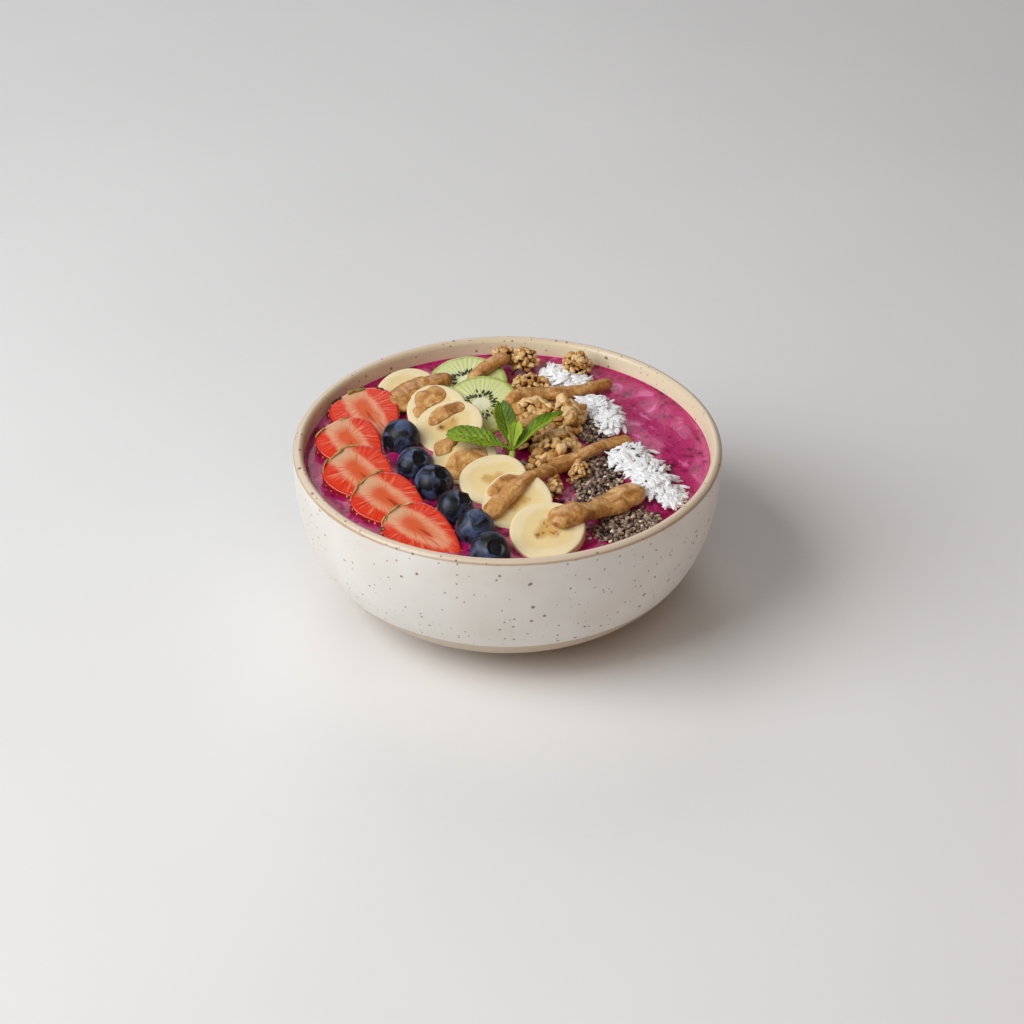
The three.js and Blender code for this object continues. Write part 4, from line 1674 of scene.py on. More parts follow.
@dataclass
class BananaRow:
    """Seven banana slices that lean on one another, four of them with nut butter on top."""

    radius: float = 12.3
    thickness: float = 5.0
    streak_height: float = 0.75
    slices: tuple[tuple[Pose, float, Streak, float], ...] = (
        (Pose((14, -56.7, 61.8), 18, -3, 20), 1.08, Streak.NONE, 1.0),
        (Pose((3.5, -37.9, 61.9), 20, -4, 95), 1.06, Streak.DOUBLE, 0.5),
        (Pose((-5, -23.7, 61.7), 19, -5, 170), 1.0, Streak.NONE, 0.35),
        (Pose((-16, -8, 61.6), 19, -5, 260), 1.0, Streak.WIDE, 0.3),
        (Pose((-22, 13, 61.9), 21, -7, 40), 1.05, Streak.SINGLE, 0.45),
        (Pose((-27.5, 27, 61.4), 20, -6, 120), 0.96, Streak.DRIP, 0.4),
        (Pose((-38.5, 42, 60.6), 15, 0, 200), 0.99, Streak.NONE, 0.6),
    )

    def outline(self, size: float, angle: np.ndarray) -> tuple[np.ndarray, np.ndarray]:
        """Gives a banana's cross-section, pressed in along three seams.

        Args:
            size: scale of this slice.
            angle: place round the outline.

        Returns:
            The x and y of each point.
        """
        press = 1 + 0.025 * np.cos(3 * angle) + 0.02 * np.cos(2 * angle)
        return self.radius * size * press * np.cos(angle), self.radius * size * press * np.sin(angle)

    @staticmethod
    def relief(points: np.ndarray, share: np.ndarray) -> np.ndarray:
        """Raises a low rim and the drag of the knife, and sinks the heart.

        Args:
            points: places on the cut face.
            share: their shares of its radius.

        Returns:
            Height of each point.
        """
        drag = 0.09 * wobble(points * np.array([0.25, 1, 1]), 1.6, points[0, 0])
        heart = -0.22 * np.exp(-((share / 0.22) ** 2))
        return 0.16 * smooth_step(share, 0.5, 0.85) + heart + drag * (share < 0.95)

    def streaks(self, index: int, pose: Pose, size: float, streak: Streak) -> list[Piece]:
        """Models the nut butter on one slice.

        Args:
            index: number of the slice.
            pose: the slice's pose.
            size: the slice's scale.
            streak: how the nut butter lies.

        Returns:
            The streaks, in the dish's frame.
        """
        made = []
        for k, (path, width) in enumerate(STREAK_PATHS[streak], 1):
            raised = [(x * size, y * size, 0.15) for x, y in path]
            piece = squeeze(
                f"nut_butter_on_banana_{index}_{k}",
                Path(raised),
                lambda s, w=width, i=index: w * (0.66 + 0.66 * np.sin(np.pi * s) ** 0.7
                                                 + 0.16 * np.sin(9 * s + i)),
                self.streak_height,
                24,
                36,
            )
            piece.data.transform(pose.matrix() @ Matrix.Rotation(math.radians(-pose.turn), 4, "Z"))
            made.append(piece)
        return made

    def build(self) -> list[Piece]:
        """Models the slices and what lies on them.

        Returns:
            The pieces.
        """
        flesh = BananaFlesh(
            "cut_banana",
            0.42,
            relief_mm=0.1,
            coat=0.12,
            coat_roughness=0.25,
            subsurface=0.25,
            bleed_mm=(1.8, 1.2, 0.6),
        ).material()
        butter = nut_butter().material()
        made = []
        for i, (pose, size, streak, ripe) in enumerate(self.slices, 1):
            cut = CutSlice(
                f"cut_banana_{i}",
                pose,
                lambda angle, k=size: self.outline(k, angle),
                self.thickness,
                i * 2.3,
                ripeness=ripe,
            )
            made.append(serve(cut.model(self.relief), flesh, Slot.BANANA, f"banana_slice_{i}"))
            for piece in self.streaks(i, pose, size, streak):
                lump_up(piece, i)
                made.append(serve(piece, butter, Slot.NUT_BUTTER))
        return made


KIWI_RIDGES = 38  # raised rays on a cut face


@dataclass
class KiwiPair:
    """Two peeled kiwi slices with their black seeds."""

    thickness: float = 5.0
    seeds_each: int = 58
    seed_mm: Triple = (1.0, 0.36, 0.3)  # half sizes
    seed_growth: Pair = (0.8, 1.25)
    seed_ring: Pair = (0.28, 0.5)  # shares of the radius between which seeds lie
    slices: tuple[tuple[Pose, float], ...] = (
        (Pose((-10.2, 28.8, 62.2), 20, -4), 14.7),
        (Pose((-15.6, 48, 61), 13, -2), 15.3),
    )

    @staticmethod
    def relief(points: np.ndarray, share: np.ndarray) -> np.ndarray:
        """Raises rays and the core.

        Args:
            points: places on the cut face.
            share: their shares of its radius.

        Returns:
            Height of each point.
        """
        angle = np.arctan2(points[:, 1], points[:, 0])
        rays = 0.07 * np.cos(KIWI_RIDGES * angle) * smooth_step(share, 0.2, 0.4) * (share < 0.9)
        return rays + 0.12 * (share < 0.2)

    def build(self) -> list[Piece]:
        """Models the slices and seeds.

        Returns:
            The pieces.
        """
        flesh = KiwiFlesh(
            "cut_kiwi",
            0.3,
            relief_mm=0.15,
            coat=0.4,
            coat_roughness=0.12,
            subsurface=0.2,
            bleed_mm=(1.0, 1.3, 0.5),
        ).material()
        made = []
        for i, (pose, radius) in enumerate(self.slices, 1):
            cut = CutSlice(
                f"cut_kiwi_{i}",
                pose,
                lambda angle, r=radius: (1.02 * r * np.cos(angle), 0.98 * r * np.sin(angle)),
                self.thickness,
                i * 3.1,
                segments=152,
            )
            made.append(serve(cut.model(self.relief), flesh, Slot.KIWI, f"kiwi_slice_{i}"))
        made.append(self.seeds())
        return made

    def seeds(self) -> Piece:
        """Sets the seeds round the cores.

        Returns:
            The seeds as one piece.
        """
        rng = np.random.default_rng(8)
        seed = ball("seed", 8, 6)
        points = points_of(seed)
        points[:, 1:] *= 1 - 0.35 * points[:, :1]  # a drop, pointed outwards
        move_points(seed, points)
        crowd = Crowd([Shape.of(seed)])
        for pose, radius in self.slices:
            for step in range(self.seeds_each):
                angle = step * 2 * math.pi / self.seeds_each + rng.uniform(-0.05, 0.05)
                out = radius * rng.uniform(*self.seed_ring)
                at = pose.matrix() @ Vector((out * math.cos(angle), out * math.sin(angle), 0.05))
                lying = Pose(tuple(at), pose.lean, pose.roll, math.degrees(angle))
                long, wide, deep = self.seed_mm
                size = (long * rng.uniform(*self.seed_growth), wide, deep)
                crowd.add(0, lying, size, rng.uniform(0.1, 0.9))
        shell = TonedSeeds(
            "kiwi_seed", 0.3, relief_mm=0.02, coat=0.3, tones=((0.1, "#15120F"), (0.9, "#2E2A20"))
        )
        return serve(crowd.join("kiwi_seeds"), shell.material(), Slot.KIWI)


def nut_butter() -> GroundNuts:
    """Returns the finish of the nut butter."""
    return GroundNuts(
        "stirred_nut_butter",
        0.45,
        relief_mm=0.5,
        coat=0.35,
        coat_roughness=0.2,
        subsurface=0.1,
        bleed_mm=(1.5, 0.8, 0.4),
        specular=0.35,
    )


def lump_up(piece: Piece, seed: float) -> None:
    """Gives a spooned piece its soft lumps.

    Args:
        piece: the piece.
        seed: picks its lumps.
    """
    points = points_of(piece)
    normals = np.empty(len(points) * 3)
    piece.data.vertices.foreach_get("normal", normals)
    swell = 0.45 * wobble(points, 4.6, seed) + 0.2 * wobble(points, 1.6, seed + 5)
    move_points(piece, points + normals.reshape(-1, 3) * swell[:, None] * 0.9)


@dataclass
class NutButterRibbons:
    """Ribbons of nut butter that cross several toppings."""

    ribbons: tuple = (
        (
            "front_long",
            ((-7.4, -46, 60), (-1, -38, 62.9), (6, -30, 65.3), (13, -22.5, 64.1),
             (19, -13.5, 61.1), (28, -5, 60.7), (37, 2, 60.3), (47, 7.5, 59.1)),
            lambda s: 3.4 - 0.9 * s + 0.4 * np.sin(14 * s),
            2.0,
        ),
        (
            "front_short",
            ((14.6, -54, 64.6), (20, -52.6, 65), (25, -50, 65.2), (30, -46, 63),
             (36, -40.5, 61.2), (42.5, -34, 61), (48.5, -27, 60.6)),
            lambda s: 5.1 + 0.9 * np.cos(8 * s),
            2.6,
        ),
        (
            "back_right",
            ((-5, 21.5, 61.1), (-1, 26, 62.6), (4, 32, 64.2), (11, 36, 62.6),
             (20, 38.5, 61.2), (30, 43, 60.2), (41, 51, 59.1)),
            lambda s: 1.8 + 1.5 * np.sin(np.pi * np.minimum(1, s * 0.95)),
            2.1,
        ),
        (
            "back_left",
            ((-41, 28.5, 59.6), (-40.4, 36, 61.2), (-35, 42, 62), (-28, 46.5, 61.8),
             (-22, 50, 62)),
            lambda s: 6.4 - 3 * s,
            2.4,
        ),
        (
            "back_kiwi",
            ((-16.6, 40.5, 61.4), (-13.6, 46.5, 62.6), (-9.4, 52.5, 64), (-4, 57.5, 65),
             (0.6, 60.2, 65)),
            lambda s: 1.9 + 1.6 * s,
            2.0,
        ),
    )

    def build(self) -> list[Piece]:
        """Models the ribbons.

        Returns:
            The ribbons.
        """
        butter = nut_butter().material()
        made = []
        for i, (place, path, width_at, height) in enumerate(self.ribbons):
            ribbon = squeeze(f"nut_butter_ribbon_{place}", Path(path), width_at, height, 40, 110)
            lump_up(ribbon, i * 3.7)
            made.append(serve(ribbon, butter, Slot.NUT_BUTTER, f"nut_butter_{place}"))
        return made


@dataclass(frozen=True)
class Mound:
    """An egg-shaped core of a heap: its middle and half sizes."""

    at: Triple
    half: Triple

    def surface(self, height: float, angle: float) -> tuple[Vector, Vector]:
        """Gives a point on the mound.

        Args:
            height: 1 at the top, -1 underneath.
            angle: direction round it.

        Returns:
            The point and the outward direction.
        """
        ring = math.sqrt(max(0.0, 1 - height * height))
        unit = Vector((ring * math.cos(angle), ring * math.sin(angle), height))
        point = Vector(c + h * u for c, h, u in zip(self.at, self.half, unit))
        return point, Vector(u / h for u, h in zip(unit, self.half)).normalized()

    def beside(self, away: float, angle: float) -> Pair:
        """Returns the level place that many half sizes from the middle, in that direction."""
        return (
            self.at[0] + self.half[0] * away * math.cos(angle),
            self.at[1] + self.half[1] * away * math.sin(angle),
        )

    def depth(self, points: np.ndarray) -> np.ndarray:
        """Returns painted shade and light: how much darker points get towards the core, and
        lighter outside it.
        """
        reach = np.linalg.norm((points - np.array(self.at)) / np.array(self.half), axis=1)
        return np.clip(1.5 * (reach - 1.1), -0.6, 0.25)


@dataclass
class GranolaClusters:
    """Toasted oats baked together in clusters: the heap in the middle and seven loose ones."""

    slim_mm: Pair = (2.1, 3.5)  # half length of a long oat, at least and at most
    round_mm: Pair = (1.15, 1.75)
    crumb_mm: Pair = (0.5, 1.3)
    groove: float = 0.38  # share of its thickness to which an oat is grooved
    heap_mm2: float = 7.5  # surface for each oat
    loose_mm2: float = 5.2
    crumbs_each: int = 7
    reach: float = 73.0  # farthest crumb from the bowl's middle
    heap: tuple[Mound, ...] = (
        Mound((10, 25, 60), (7, 5.4, 4.6)),
        Mound((21, 21, 60.5), (7, 7.4, 5.4)),
        Mound((9, 10, 60), (7.6, 8, 4.6)),
        Mound((18, 0, 60), (7.4, 7.4, 4.6)),
    )
    loose: tuple[tuple[str, Mound], ...] = (
        ("back_wall", Mound((-1.6, 66.4, 61.6), (3.2, 3, 3.4))),
        ("back_middle", Mound((7, 62.2, 62), (4, 3.8, 4.4))),
        ("back_right", Mound((27.4, 60.4, 60.6), (4.6, 4.2, 5))),
        ("behind_ribbon", Mound((9, 47.6, 60), (6, 3.6, 2.8))),
        ("by_banana", Mound((10.6, -12.2, 59.4), (2.6, 2.6, 2))),
        ("front_tall", Mound((17, -25.6, 59.8), (1.8, 4, 2.8))),
        ("front_round", Mound((26.6, -16.4, 60), (3, 3.2, 3))),
    )

    def oat(self, seed: int, slim: float) -> Shape:
        """Models a puffed oat with grooves along it.

        Args:
            seed: picks its dents.
            slim: its width for a length of 1.

        Returns:
            The oat, 2 long.
        """
        oat = ball("oat", 15, 11)
        bpy.ops.object.mode_set(mode="EDIT")
        bpy.ops.mesh.select_all(action="SELECT")
        bpy.ops.transform.rotate(value=math.pi / 2, orient_axis="Y", center_override=(0, 0, 0))
        bpy.ops.transform.resize(value=(1, slim, slim * 0.86), center_override=(0, 0, 0))
        bpy.ops.object.mode_set(mode="OBJECT")
        points = points_of(oat)
        around = np.arctan2(points[:, 2], points[:, 1])
        groove = np.abs(np.cos(1.5 * around + seed)) ** 3 * (1 - points[:, 0] ** 2)
        points[:, 1:] *= (1 - self.groove * groove)[:, None]
        points *= 1 + 0.2 * wobble(points, 0.6, seed)[:, None]
        points[:, 2] += 0.16 * slim * np.sin(2.6 * points[:, 0] + seed)
        move_points(oat, points)
        return Shape.of(oat)

    def cluster(self, name: str, mounds: Sequence[Mound], seed: int, oats: list[Shape]) -> Piece:
        """Covers mounds with oats, long ones on the heap and round ones on the small clusters.

        Args:
            name: the piece's name.
            mounds: the cluster's cores.
            seed: picks the oats' places.
            oats: shapes of an oat, the long ones first.

        Returns:
            The cluster.
        """
        rng = np.random.default_rng(seed)
        crowd = Crowd(oats)
        large = len(mounds) > 1
        for mound in mounds:
            area = 2 * math.pi * mound.half[0] * mound.half[1] + 3 * math.pi * mound.half[2] ** 2
            count = max(12, int(area / (self.heap_mm2 if large else self.loose_mm2)))
            for step in range(count):
                height = 1 - (step + 0.4) * 1.35 / count
                point, out = mound.surface(height, step * GOLDEN_ANGLE + rng.uniform(0, 0.9))
                if point.z < LEVEL - 0.2:
                    continue
                point += out * rng.uniform(-0.4, 1.0)
                slim = bool(large and step % 4)
                long = rng.uniform(*(self.slim_mm if slim else self.round_mm))
                kind = step % 4 if slim else 3 + step % 3
                lying = tumbled(rng, tuple(point), 50, 40)
                # Oats near a core get painted shade in their tone, oats farther out painted light.
                crowd.add(kind, lying, (long,) * 3, rng.uniform(0.2, 0.9), mound.depth)
            # The core shows dark between the oats as painted shade in the gaps: a round oat
            # in the darkest tone, made as large as the mound.
            size = tuple(0.95 * h / s for h, s in zip(mound.half, (1, 0.85, 0.73)))
            crowd.add(4, Pose(mound.at), size, -0.1)
        return crowd.join(name)

    def crumbs(self, oats: list[Shape]) -> Piece:
        """Strews small broken oats round the clusters.

        Args:
            oats: shapes of an oat.

        Returns:
            The crumbs as one piece.
        """
        rng = np.random.default_rng(77)
        crowd = Crowd(oats)
        foot = Mound((6, -9, 58), (5, 4, 2))
        for mound in (foot, foot, *self.heap, *[m for _, m in self.loose]):
            for _ in range(self.crumbs_each):
                angle = rng.uniform(0, 2 * math.pi)
                x, y = mound.beside(rng.uniform(1.1, 1.6), angle)
                if math.hypot(x, y) > self.reach:
                    continue
                at = (x, y, LEVEL + rng.uniform(0.3, 0.9))
                long = rng.uniform(*self.crumb_mm)
                lying = tumbled(rng, at, 40, 40)
                crowd.add(int(rng.integers(6)), lying, (long,) * 3, rng.uniform(0.3, 0.9))
        return crowd.join("granola_crumbs")

    def build(self) -> list[Piece]:
        """Models the clusters.

        Returns:
            The clusters and their crumbs.
        """
        oats = [self.oat(seed, 0.85 if seed > 2 else 0.5 + 0.06 * seed) for seed in range(6)]
        toast = TonedSeeds(
            "honey_toasted_oats",
            0.55,
            relief_mm=0.6,
            coat=0.25,
            coat_roughness=0.3,
            subsurface=0.08,
            bleed_mm=(1.2, 0.6, 0.3),
            specular=0.35,
            tones=((0.0, "#3E200B"), (0.25, "#805118"), (0.5, "#BE8839"), (0.85, "#EDC68C")),
            mottle_mm=1.3,
            mottling=0.3,
        ).material()
        made = [
            serve(self.cluster("granola_main", self.heap, 3, oats), toast, Slot.GRANOLA,
                  "granola_heap")
        ]
        for i, (place, mound) in enumerate(self.loose):
            piece = self.cluster(f"granola_cluster_{place}", [mound], 20 + i, oats)
            made.append(serve(piece, toast, Slot.GRANOLA, f"granola_{place}"))
        made.append(serve(self.crumbs(oats), toast, Slot.GRANOLA))
        return made


@dataclass(frozen=True)
class Patch:
    """A low ellipse of chia seeds: its middle, half sizes, turn in degrees and height."""

    name: str
    at: Pair
    half: Pair
    turn: float
    height: float

    def spot(self, share: float, angle: float) -> Triple:
        """Gives a place on the patch.

        Args:
            share: 0 in the middle, 1 at the edge.
            angle: direction from the middle.

        Returns:
            The place on the patch's surface.
        """
        across = share * self.half[0] * math.cos(angle)
        along = share * self.half[1] * math.sin(angle)
        turn = math.radians(self.turn)
        x = self.at[0] + across * math.cos(turn) - along * math.sin(turn)
        y = self.at[1] + across * math.sin(turn) + along * math.cos(turn)
        return x, y, LEVEL + self.height * math.sqrt(max(0.0, 1 - 0.8 * min(1, share) ** 2))


@dataclass
class ChiaPatches:
    """Chia seeds in three patches, with strays round them."""

    patches: tuple[Patch, ...] = (
        Patch("front", (33.5, -19), (8.6, 17), -12, 2.2),
        Patch("rim", (43, -48.5), (13, 8.6), 32, 2.0),
        Patch("middle", (32.5, 15), (5.6, 9), 10, 2.6),
    )
    seed_mm: Triple = (1.0, 0.66, 0.55)  # half sizes
    crowding: float = 1.15  # seeds for each square millimetre
    reach: float = 74.0  # farthest seed from the bowl's middle
    # Middle and half sizes of a spot of stray seeds, and how many there are.
    spots: tuple[tuple[Triple, Triple, int], ...] = (
        ((5, -9.5, 57.6), (6, 4.6, 0.7), 150),
        ((28, 33, 58.5), (7, 4, 0.8), 26),
        ((46, -7, 61.4), (4, 6, 0.3), 9),
        ((53, -21, 61.2), (4, 6, 0.3), 8),
        ((33, 31, 61.4), (4, 4, 0.3), 7),
        ((20, -33, 57.5), (9, 6, 0.4), 14),
        ((-25.5, 12.5, 62.3), (0.1, 0.1, 0.1), 1),
    )

    def build(self) -> list[Piece]:
        """Models the patches.

        Returns:
            One piece for each patch.
        """
        seed = Shape.of(ball("chia_seed", 7, 5))
        mound = Shape.of(ball("mound", 40, 20))
        shell = TonedSeeds(
            "dry_chia",
            0.42,
            relief_mm=0.05,
            coat=0.1,
            tones=(
                (0.05, "#20150F"),
                (0.3, "#5E4536"),
                (0.55, "#917662"),
                (0.8, "#B99F88"),
                (1.0, "#EAD8BD"),
            ),
            mottle_mm=0.7,
            mottling=0.3,
        ).material()
        made = []
        for number, patch in enumerate(self.patches):
            rng = np.random.default_rng(40 + number)
            crowd = Crowd([seed, mound])
            # The mound under the seeds, in the darkest tone, shows between them: painted shade in
            # the gaps.
            base = Pose((*patch.at, LEVEL), turn=patch.turn)
            size = (*[0.97 * h for h in patch.half], patch.height - 0.45)
            crowd.add(1, base, size, 0.0)
            count = int(math.pi * patch.half[0] * patch.half[1] * self.crowding)
            for _ in range(count):
                share = math.sqrt(rng.uniform(0, 1)) * rng.choice([1.0, 1.0, 1.0, 1.12, 1.3])
                x, y, z = patch.spot(share, rng.uniform(0, 2 * math.pi))
                if share > 1:
                    z = LEVEL + rng.uniform(0.3, 0.8)
                if math.hypot(x, y) > self.reach:
                    continue
                lying = tumbled(rng, (x, y, z + rng.uniform(-0.5, 0.25)), 35, 35)
                grown = rng.uniform(0.85, 1.15)
                size = tuple(grown * s for s in self.seed_mm)
                tone = rng.choice([0.08, 0.35, 0.55, 0.75, 1.0], p=[0.2, 0.3, 0.27, 0.17, 0.06])
                crowd.add(0, lying, size, tone)
            piece = crowd.join(f"chia_seeds_{patch.name}")
            made.append(serve(piece, shell, Slot.CHIA, f"chia_{patch.name}"))
        made.append(serve(self.strays(seed), shell, Slot.CHIA))
        return made

    def strays(self, seed: Shape) -> Piece:
        """Strews seeds at the foot of the mint and a few on other toppings.

        Args:
            seed: the shape of a seed.

        Returns:
            The seeds as one piece.
        """
        rng = np.random.default_rng(53)
        crowd = Crowd([seed])
        for middle, half, count in self.spots:
            for _ in range(count):
                out, angle = math.sqrt(rng.uniform(0, 1)), rng.uniform(0, 2 * math.pi)
                x, y = Mound(middle, half).beside(out, angle)
                at = (x, y, middle[2] + rng.uniform(-0.2, 1) * half[2])
                crowd.add(0, tumbled(rng, at, 30, 30), self.seed_mm,
                          rng.choice([0.05, 0.2, 0.4, 0.7]))
        return crowd.join("chia_strays")


@dataclass
class CoconutHeaps:
    """Shredded coconut in three heaps of thin curled strips."""

    # Half length, width and thickness of a flake, each at least and at most.
    flake_mm: tuple[Pair, ...] = ((1.5, 3.9), (0.55, 1.3), (0.16, 0.34))
    loose_each: int = 6
    reach: float = 73.5  # farthest end of a loose flake from the bowl's middle
    # Name, cores and number of flakes of each heap.
    heaps: tuple[tuple[str, tuple[Mound, ...], int], ...] = (
        (
            "front",
            (
                Mound((45, -6, 58), (6.4, 8.6, 3.4)),
                Mound((49.5, -13.5, 58), (5.6, 6, 3.2)),
                Mound((53, -21, 58), (6.4, 9, 3.2)),
                Mound((59, -31, 57.6), (3, 5, 2)),
            ),
            230,
        ),
        (
            "middle",
            (
                Mound((33, 31, 58), (6.6, 6.4, 3.4)),
                Mound((39, 20.5, 58), (4.6, 7.4, 3.2)),
            ),
            110,
        ),
        (
            "back",
            (Mound((25, 49.6, 58), (7.6, 4.4, 3)), Mound((19, 57, 58), (5, 5, 2.8))),
            85,
        ),
    )

    def strip(self, seed: int) -> Shape:
        """Models a curled strip, 2 long and 2 wide before its size.

        Args:
            seed: picks its curl and the break of its ends.

        Returns:
            The strip.
        """
        bpy.ops.object.select_all(action="DESELECT")
        bpy.ops.mesh.primitive_cube_add(size=2)
        strip = named("strip")
        bpy.ops.object.mode_set(mode="EDIT")
        bpy.ops.mesh.select_all(action="DESELECT")
        bpy.ops.object.mode_set(mode="OBJECT")
        for edge in strip.data.edges:
            a, b = (strip.data.vertices[v].co for v in edge.vertices)
            edge.select = abs(a.x - b.x) > 1
        bpy.ops.object.mode_set(mode="EDIT")
        bpy.ops.mesh.subdivide(number_cuts=5)
        bpy.ops.object.mode_set(mode="OBJECT")
        points = points_of(strip)
        x = points[:, 0].copy()
        points[:, 1] *= 1 - 0.35 * np.abs(x) ** 3
        points[:, 0] += 0.18 * np.sign(x) * np.sign(points[:, 1]) * (np.abs(x) > 0.9)
        points[:, 2] += (1.6 + 0.6 * math.sin(seed)) * (1 - x**2)
        points[:, 1] += 0.5 * np.sin(1.4 * x + seed)
        move_points(strip, points)
        return Shape.of(strip)

    def build(self) -> list[Piece]:
        """Models the heaps.

        Returns:
            One piece for each heap, and the loose flakes.
        """
        strips = [self.strip(seed) for seed in (1, 2, 4)]
        core = Shape.of(ball("core", 32, 16))
        flesh = TonedSeeds(
            "dried_coconut",
            0.5,
            relief_mm=0.1,
            subsurface=0.15,
            bleed_mm=(2.0, 2.0, 1.9),
            tones=((0.0, "#E0BCC6"), (0.1, "#EAE7E0"), (0.3, "#FCFBF8"), (0.9, "#FFFFFF")),
            mottle_mm=1.5,
            mottling=0.25,
        ).material()
        made = []
        for number, (name, mounds, count) in enumerate(self.heaps):
            rng = np.random.default_rng(60 + number)
            crowd = Crowd([*strips, core])
            for mound in mounds:
                crowd.add(3, Pose(mound.at), tuple(0.98 * h for h in mound.half), 0.4)
            for step in range(count):
                mound = mounds[int(rng.integers(len(mounds)))]
                share = math.sqrt(rng.uniform(0, 1)) * 1.12
                angle = rng.uniform(0, 2 * math.pi)
                x, y = mound.beside(share, angle)
                rise = mound.half[2] * math.sqrt(max(0.0, 1 - 0.72 * share * share))
                z = max(mound.at[2] + rise + rng.uniform(-0.3, 0.45), LEVEL + 0.3)
                steep = 9 if share < 0.9 else 7
                lying = tumbled(rng, (x, y, z), steep, steep)
                size = tuple(rng.uniform(*span) for span in self.flake_mm)
                # Flakes near a core get painted shade in their tone, towards the pinkish grey low
                # end, and flakes farther out painted light.
                crowd.add(step % 3, lying, size, rng.uniform(0.45, 1.0), mound.depth)
            piece = crowd.join(f"coconut_shreds_{name}")
            made.append(serve(piece, flesh, Slot.COCONUT, f"coconut_{name}"))
        made.append(serve(self.loose_flakes(strips), flesh, Slot.COCONUT))
        return made

    def loose_flakes(self, strips: list[Shape]) -> Piece:
        """Strews long flakes on the smoothie, right of the heaps.

        Args:
            strips: shapes of a flake.

        Returns:
            The flakes as one piece.
        """
        rng = np.random.default_rng(91)
        crowd = Crowd(strips)
        front, middle = self.heaps[0][1], self.heaps[1][1]
        for mound in (*front, front[-1], middle[0]):
            for _ in range(self.loose_each):
                angle = rng.uniform(-0.9, 0.8)
                x, y = mound.beside(rng.uniform(1.15, 1.75), angle)
                long = rng.uniform(1.8, 3.6)
                if math.hypot(x, y) + long > self.reach:
                    continue
                at = (x, y, LEVEL + rng.uniform(0.5, 0.9))
                lying = Pose(at, rng.uniform(-6, 6), rng.uniform(-5, 5),
                             math.degrees(angle) + rng.uniform(-50, 50))
                size = (long, rng.uniform(0.5, 1.0), rng.uniform(0.14, 0.24))
                crowd.add(int(rng.integers(3)), lying, size, rng.uniform(0.05, 0.7))
        return crowd.join("coconut_flakes_loose")


@dataclass(frozen=True)
class Leaf:
    """One mint leaf: where its tip is, its width, the share of its length at which it is broadest,
    how far its edges turn up, how far its middle arches, and how young its green is."""

    tip: Triple
    width: float
    widest: float
    cup: float
    arch: float
    young: float


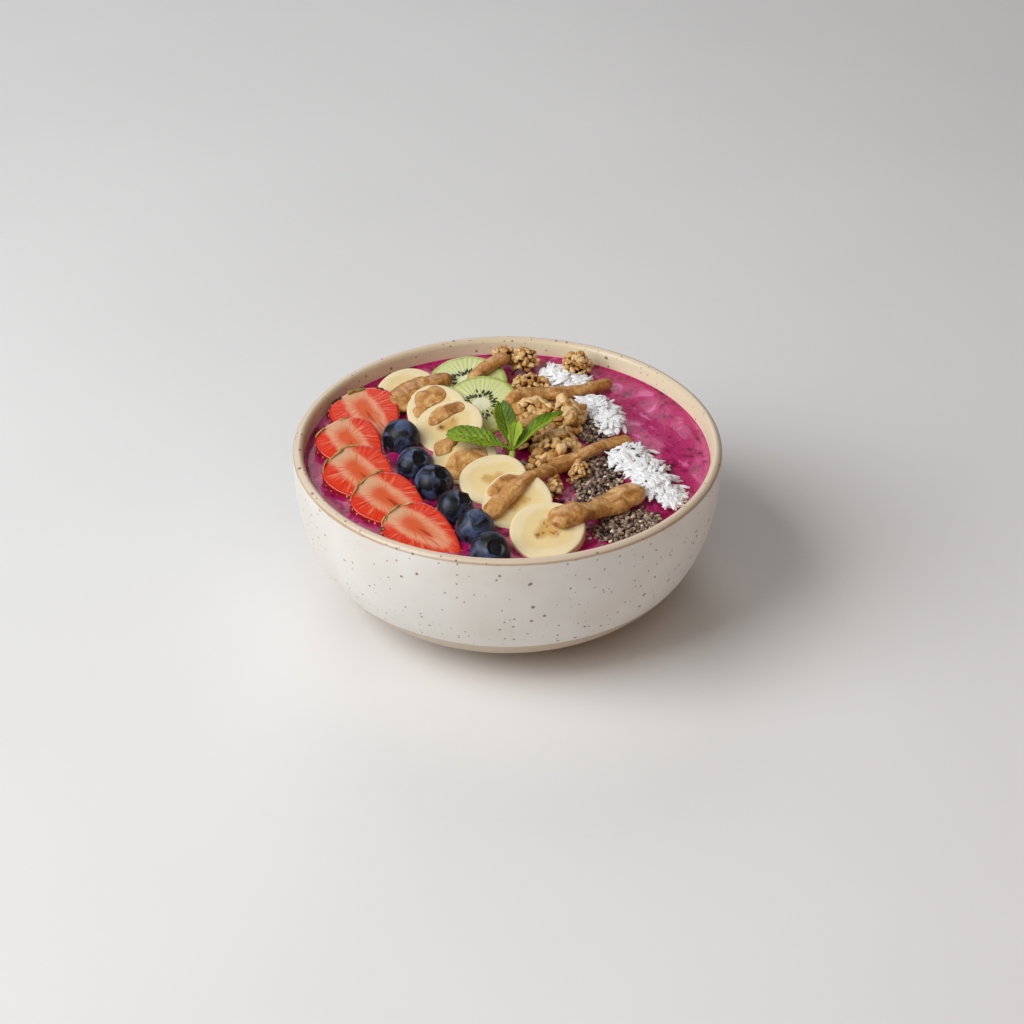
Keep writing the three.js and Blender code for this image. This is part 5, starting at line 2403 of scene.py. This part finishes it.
@dataclass
class MintSprig:
    """Four serrated mint leaves on one short stem."""

    base: Triple = (1.8, -8.2, 64)
    teeth: int = 13
    ribs: float = 8.5  # side veins on each half of a leaf
    slant: float = 1.9
    thickness: float = 0.35
    # Where a leaf begins and ends on the sine that shapes it, so that its ends aren't points.
    blade_from: float = 0.04
    blade_span: float = 0.92
    leaves: tuple[Leaf, ...] = (
        Leaf((-22.5, -2.5, 67.8), 12, 0.64, 1, 2.2, 0.32),
        Leaf((-2.6, 5.4, 76.6), 8, 0.58, 1.4, 1.4, 0.12),
        Leaf((3.4, -1.4, 72.4), 5.6, 0.66, 0.8, 0.8, 0.55),
        Leaf((20.4, 5.6, 72.1), 6, 0.5, 1.4, 2.4, 0.28),
    )

    def blade(self, index: int, leaf: Leaf) -> Piece:
        """Models one leaf.

        Args:
            index: its number.
            leaf: its sizes.

        Returns:
            The leaf, in the dish's frame.
        """
        bpy.ops.object.select_all(action="DESELECT")
        bpy.ops.mesh.primitive_grid_add(x_subdivisions=90, y_subdivisions=36, size=2)
        blade = named(f"mint_blade_{index}")
        flat = points_of(blade)
        u, side = (flat[:, 0] + 1) / 2, flat[:, 1]
        along = np.array(leaf.tip) - np.array(self.base)
        across = np.array([-along[1], along[0], 0.0])
        across /= np.linalg.norm(across)
        start, span = self.blade_from, self.blade_span
        power = math.log(0.5) / math.log(start + span * leaf.widest)
        reach = np.sin(math.pi * (start + span * u) ** power) ** 0.8
        tooth = (u * self.teeth) % 1
        reach *= 1 + 0.1 * (tooth - 0.5) * np.abs(side) ** 6 * smooth_step(u, 0.1, 0.25)
        # Side veins leave the midrib slanting forward and the blade puffs up between them.
        phase = self.ribs * u - self.slant * np.abs(side)
        rib = np.abs(np.sin(math.pi * phase))
        puff = 0.34 * rib**0.7 * (1 - np.abs(side) ** 4) * smooth_step(u, 0.02, 0.2)
        cells = 0.2 * wobble(np.stack([u * 26, side * leaf.width / 2, 0 * u], 1), 0.9, index)
        groove = -0.45 * np.exp(-((side / 0.09) ** 2))
        wave = 0.4 * np.sin(4 * math.pi * u) * side
        bend = leaf.arch * np.sin(math.pi * u) + leaf.cup * side**2 + wave
        points = np.array(self.base) + along * u[:, None]
        points += across * (side * reach * leaf.width / 2)[:, None]
        points[:, 2] += bend + (puff + cells) * leaf.width / 8 + groove
        move_points(blade, points)
        vein = np.maximum(np.exp(-((side / 0.055) ** 2)), 0.6 * np.exp(-((rib / 0.2) ** 2)))
        paint(blade, "vein", vein)
        # The side that faces the eater catches more light, so its tone is painted lighter: painted
        # light.
        paint(blade, "tone", leaf.young - 0.14 * side * np.sign(across[1]))
        finish_with(blade, "SOLIDIFY", thickness=self.thickness, offset=0)
        face_out(blade)
        return blade

    def build(self) -> list[Piece]:
        """Models the sprig.

        Returns:
            The sprig as one piece.
        """
        blades = [self.blade(i, leaf) for i, leaf in enumerate(self.leaves, 1)]
        stem = squeeze(
            "mint_stem",
            Path([(1.2, -10.2, 61.8), (1.8, -8.2, 64), (1.2, -6.2, 66.6), (0.6, -4.6, 69)]),
            lambda s: 1.25 - 0.5 * s,
            1.1,
            16,
            24,
        )
        paint(stem, "vein", np.full(len(stem.data.vertices), 0.8))
        paint(stem, "tone", np.full(len(stem.data.vertices), 0.5))
        only(blades[0])
        for piece in (*blades[1:], stem):
            piece.select_set(True)
        bpy.ops.object.join()
        sprig = bpy.context.object
        sprig.name = "mint_leaves"
        finish = MintLeaf(
            "fresh_mint", 0.5, relief_mm=0.2, coat=0.08, coat_roughness=0.3,
            subsurface=0.12, bleed_mm=(0.6, 1.0, 0.2), specular=0.35
        )
        return [serve(sprig, finish.material(), Slot.MINT, "mint_sprig")]


def main() -> None:
    """Builds the studio and the dish."""
    logging.basicConfig(level=logging.INFO, format="%(name)s: %(message)s")
    makers = (
        Studio(),
        StonewareBowl(),
        Smoothie(),
        StrawberryFan(),
        BlueberryRow(),
        BananaRow(),
        KiwiPair(),
        NutButterRibbons(),
        GranolaClusters(),
        ChiaPatches(),
        CoconutHeaps(),
        MintSprig(),
    )
    for maker in makers:
        for piece in maker.build():
            log.info("%s: %s faces", piece.name, len(piece.data.polygons))


if __name__ == "__main__":
    main()
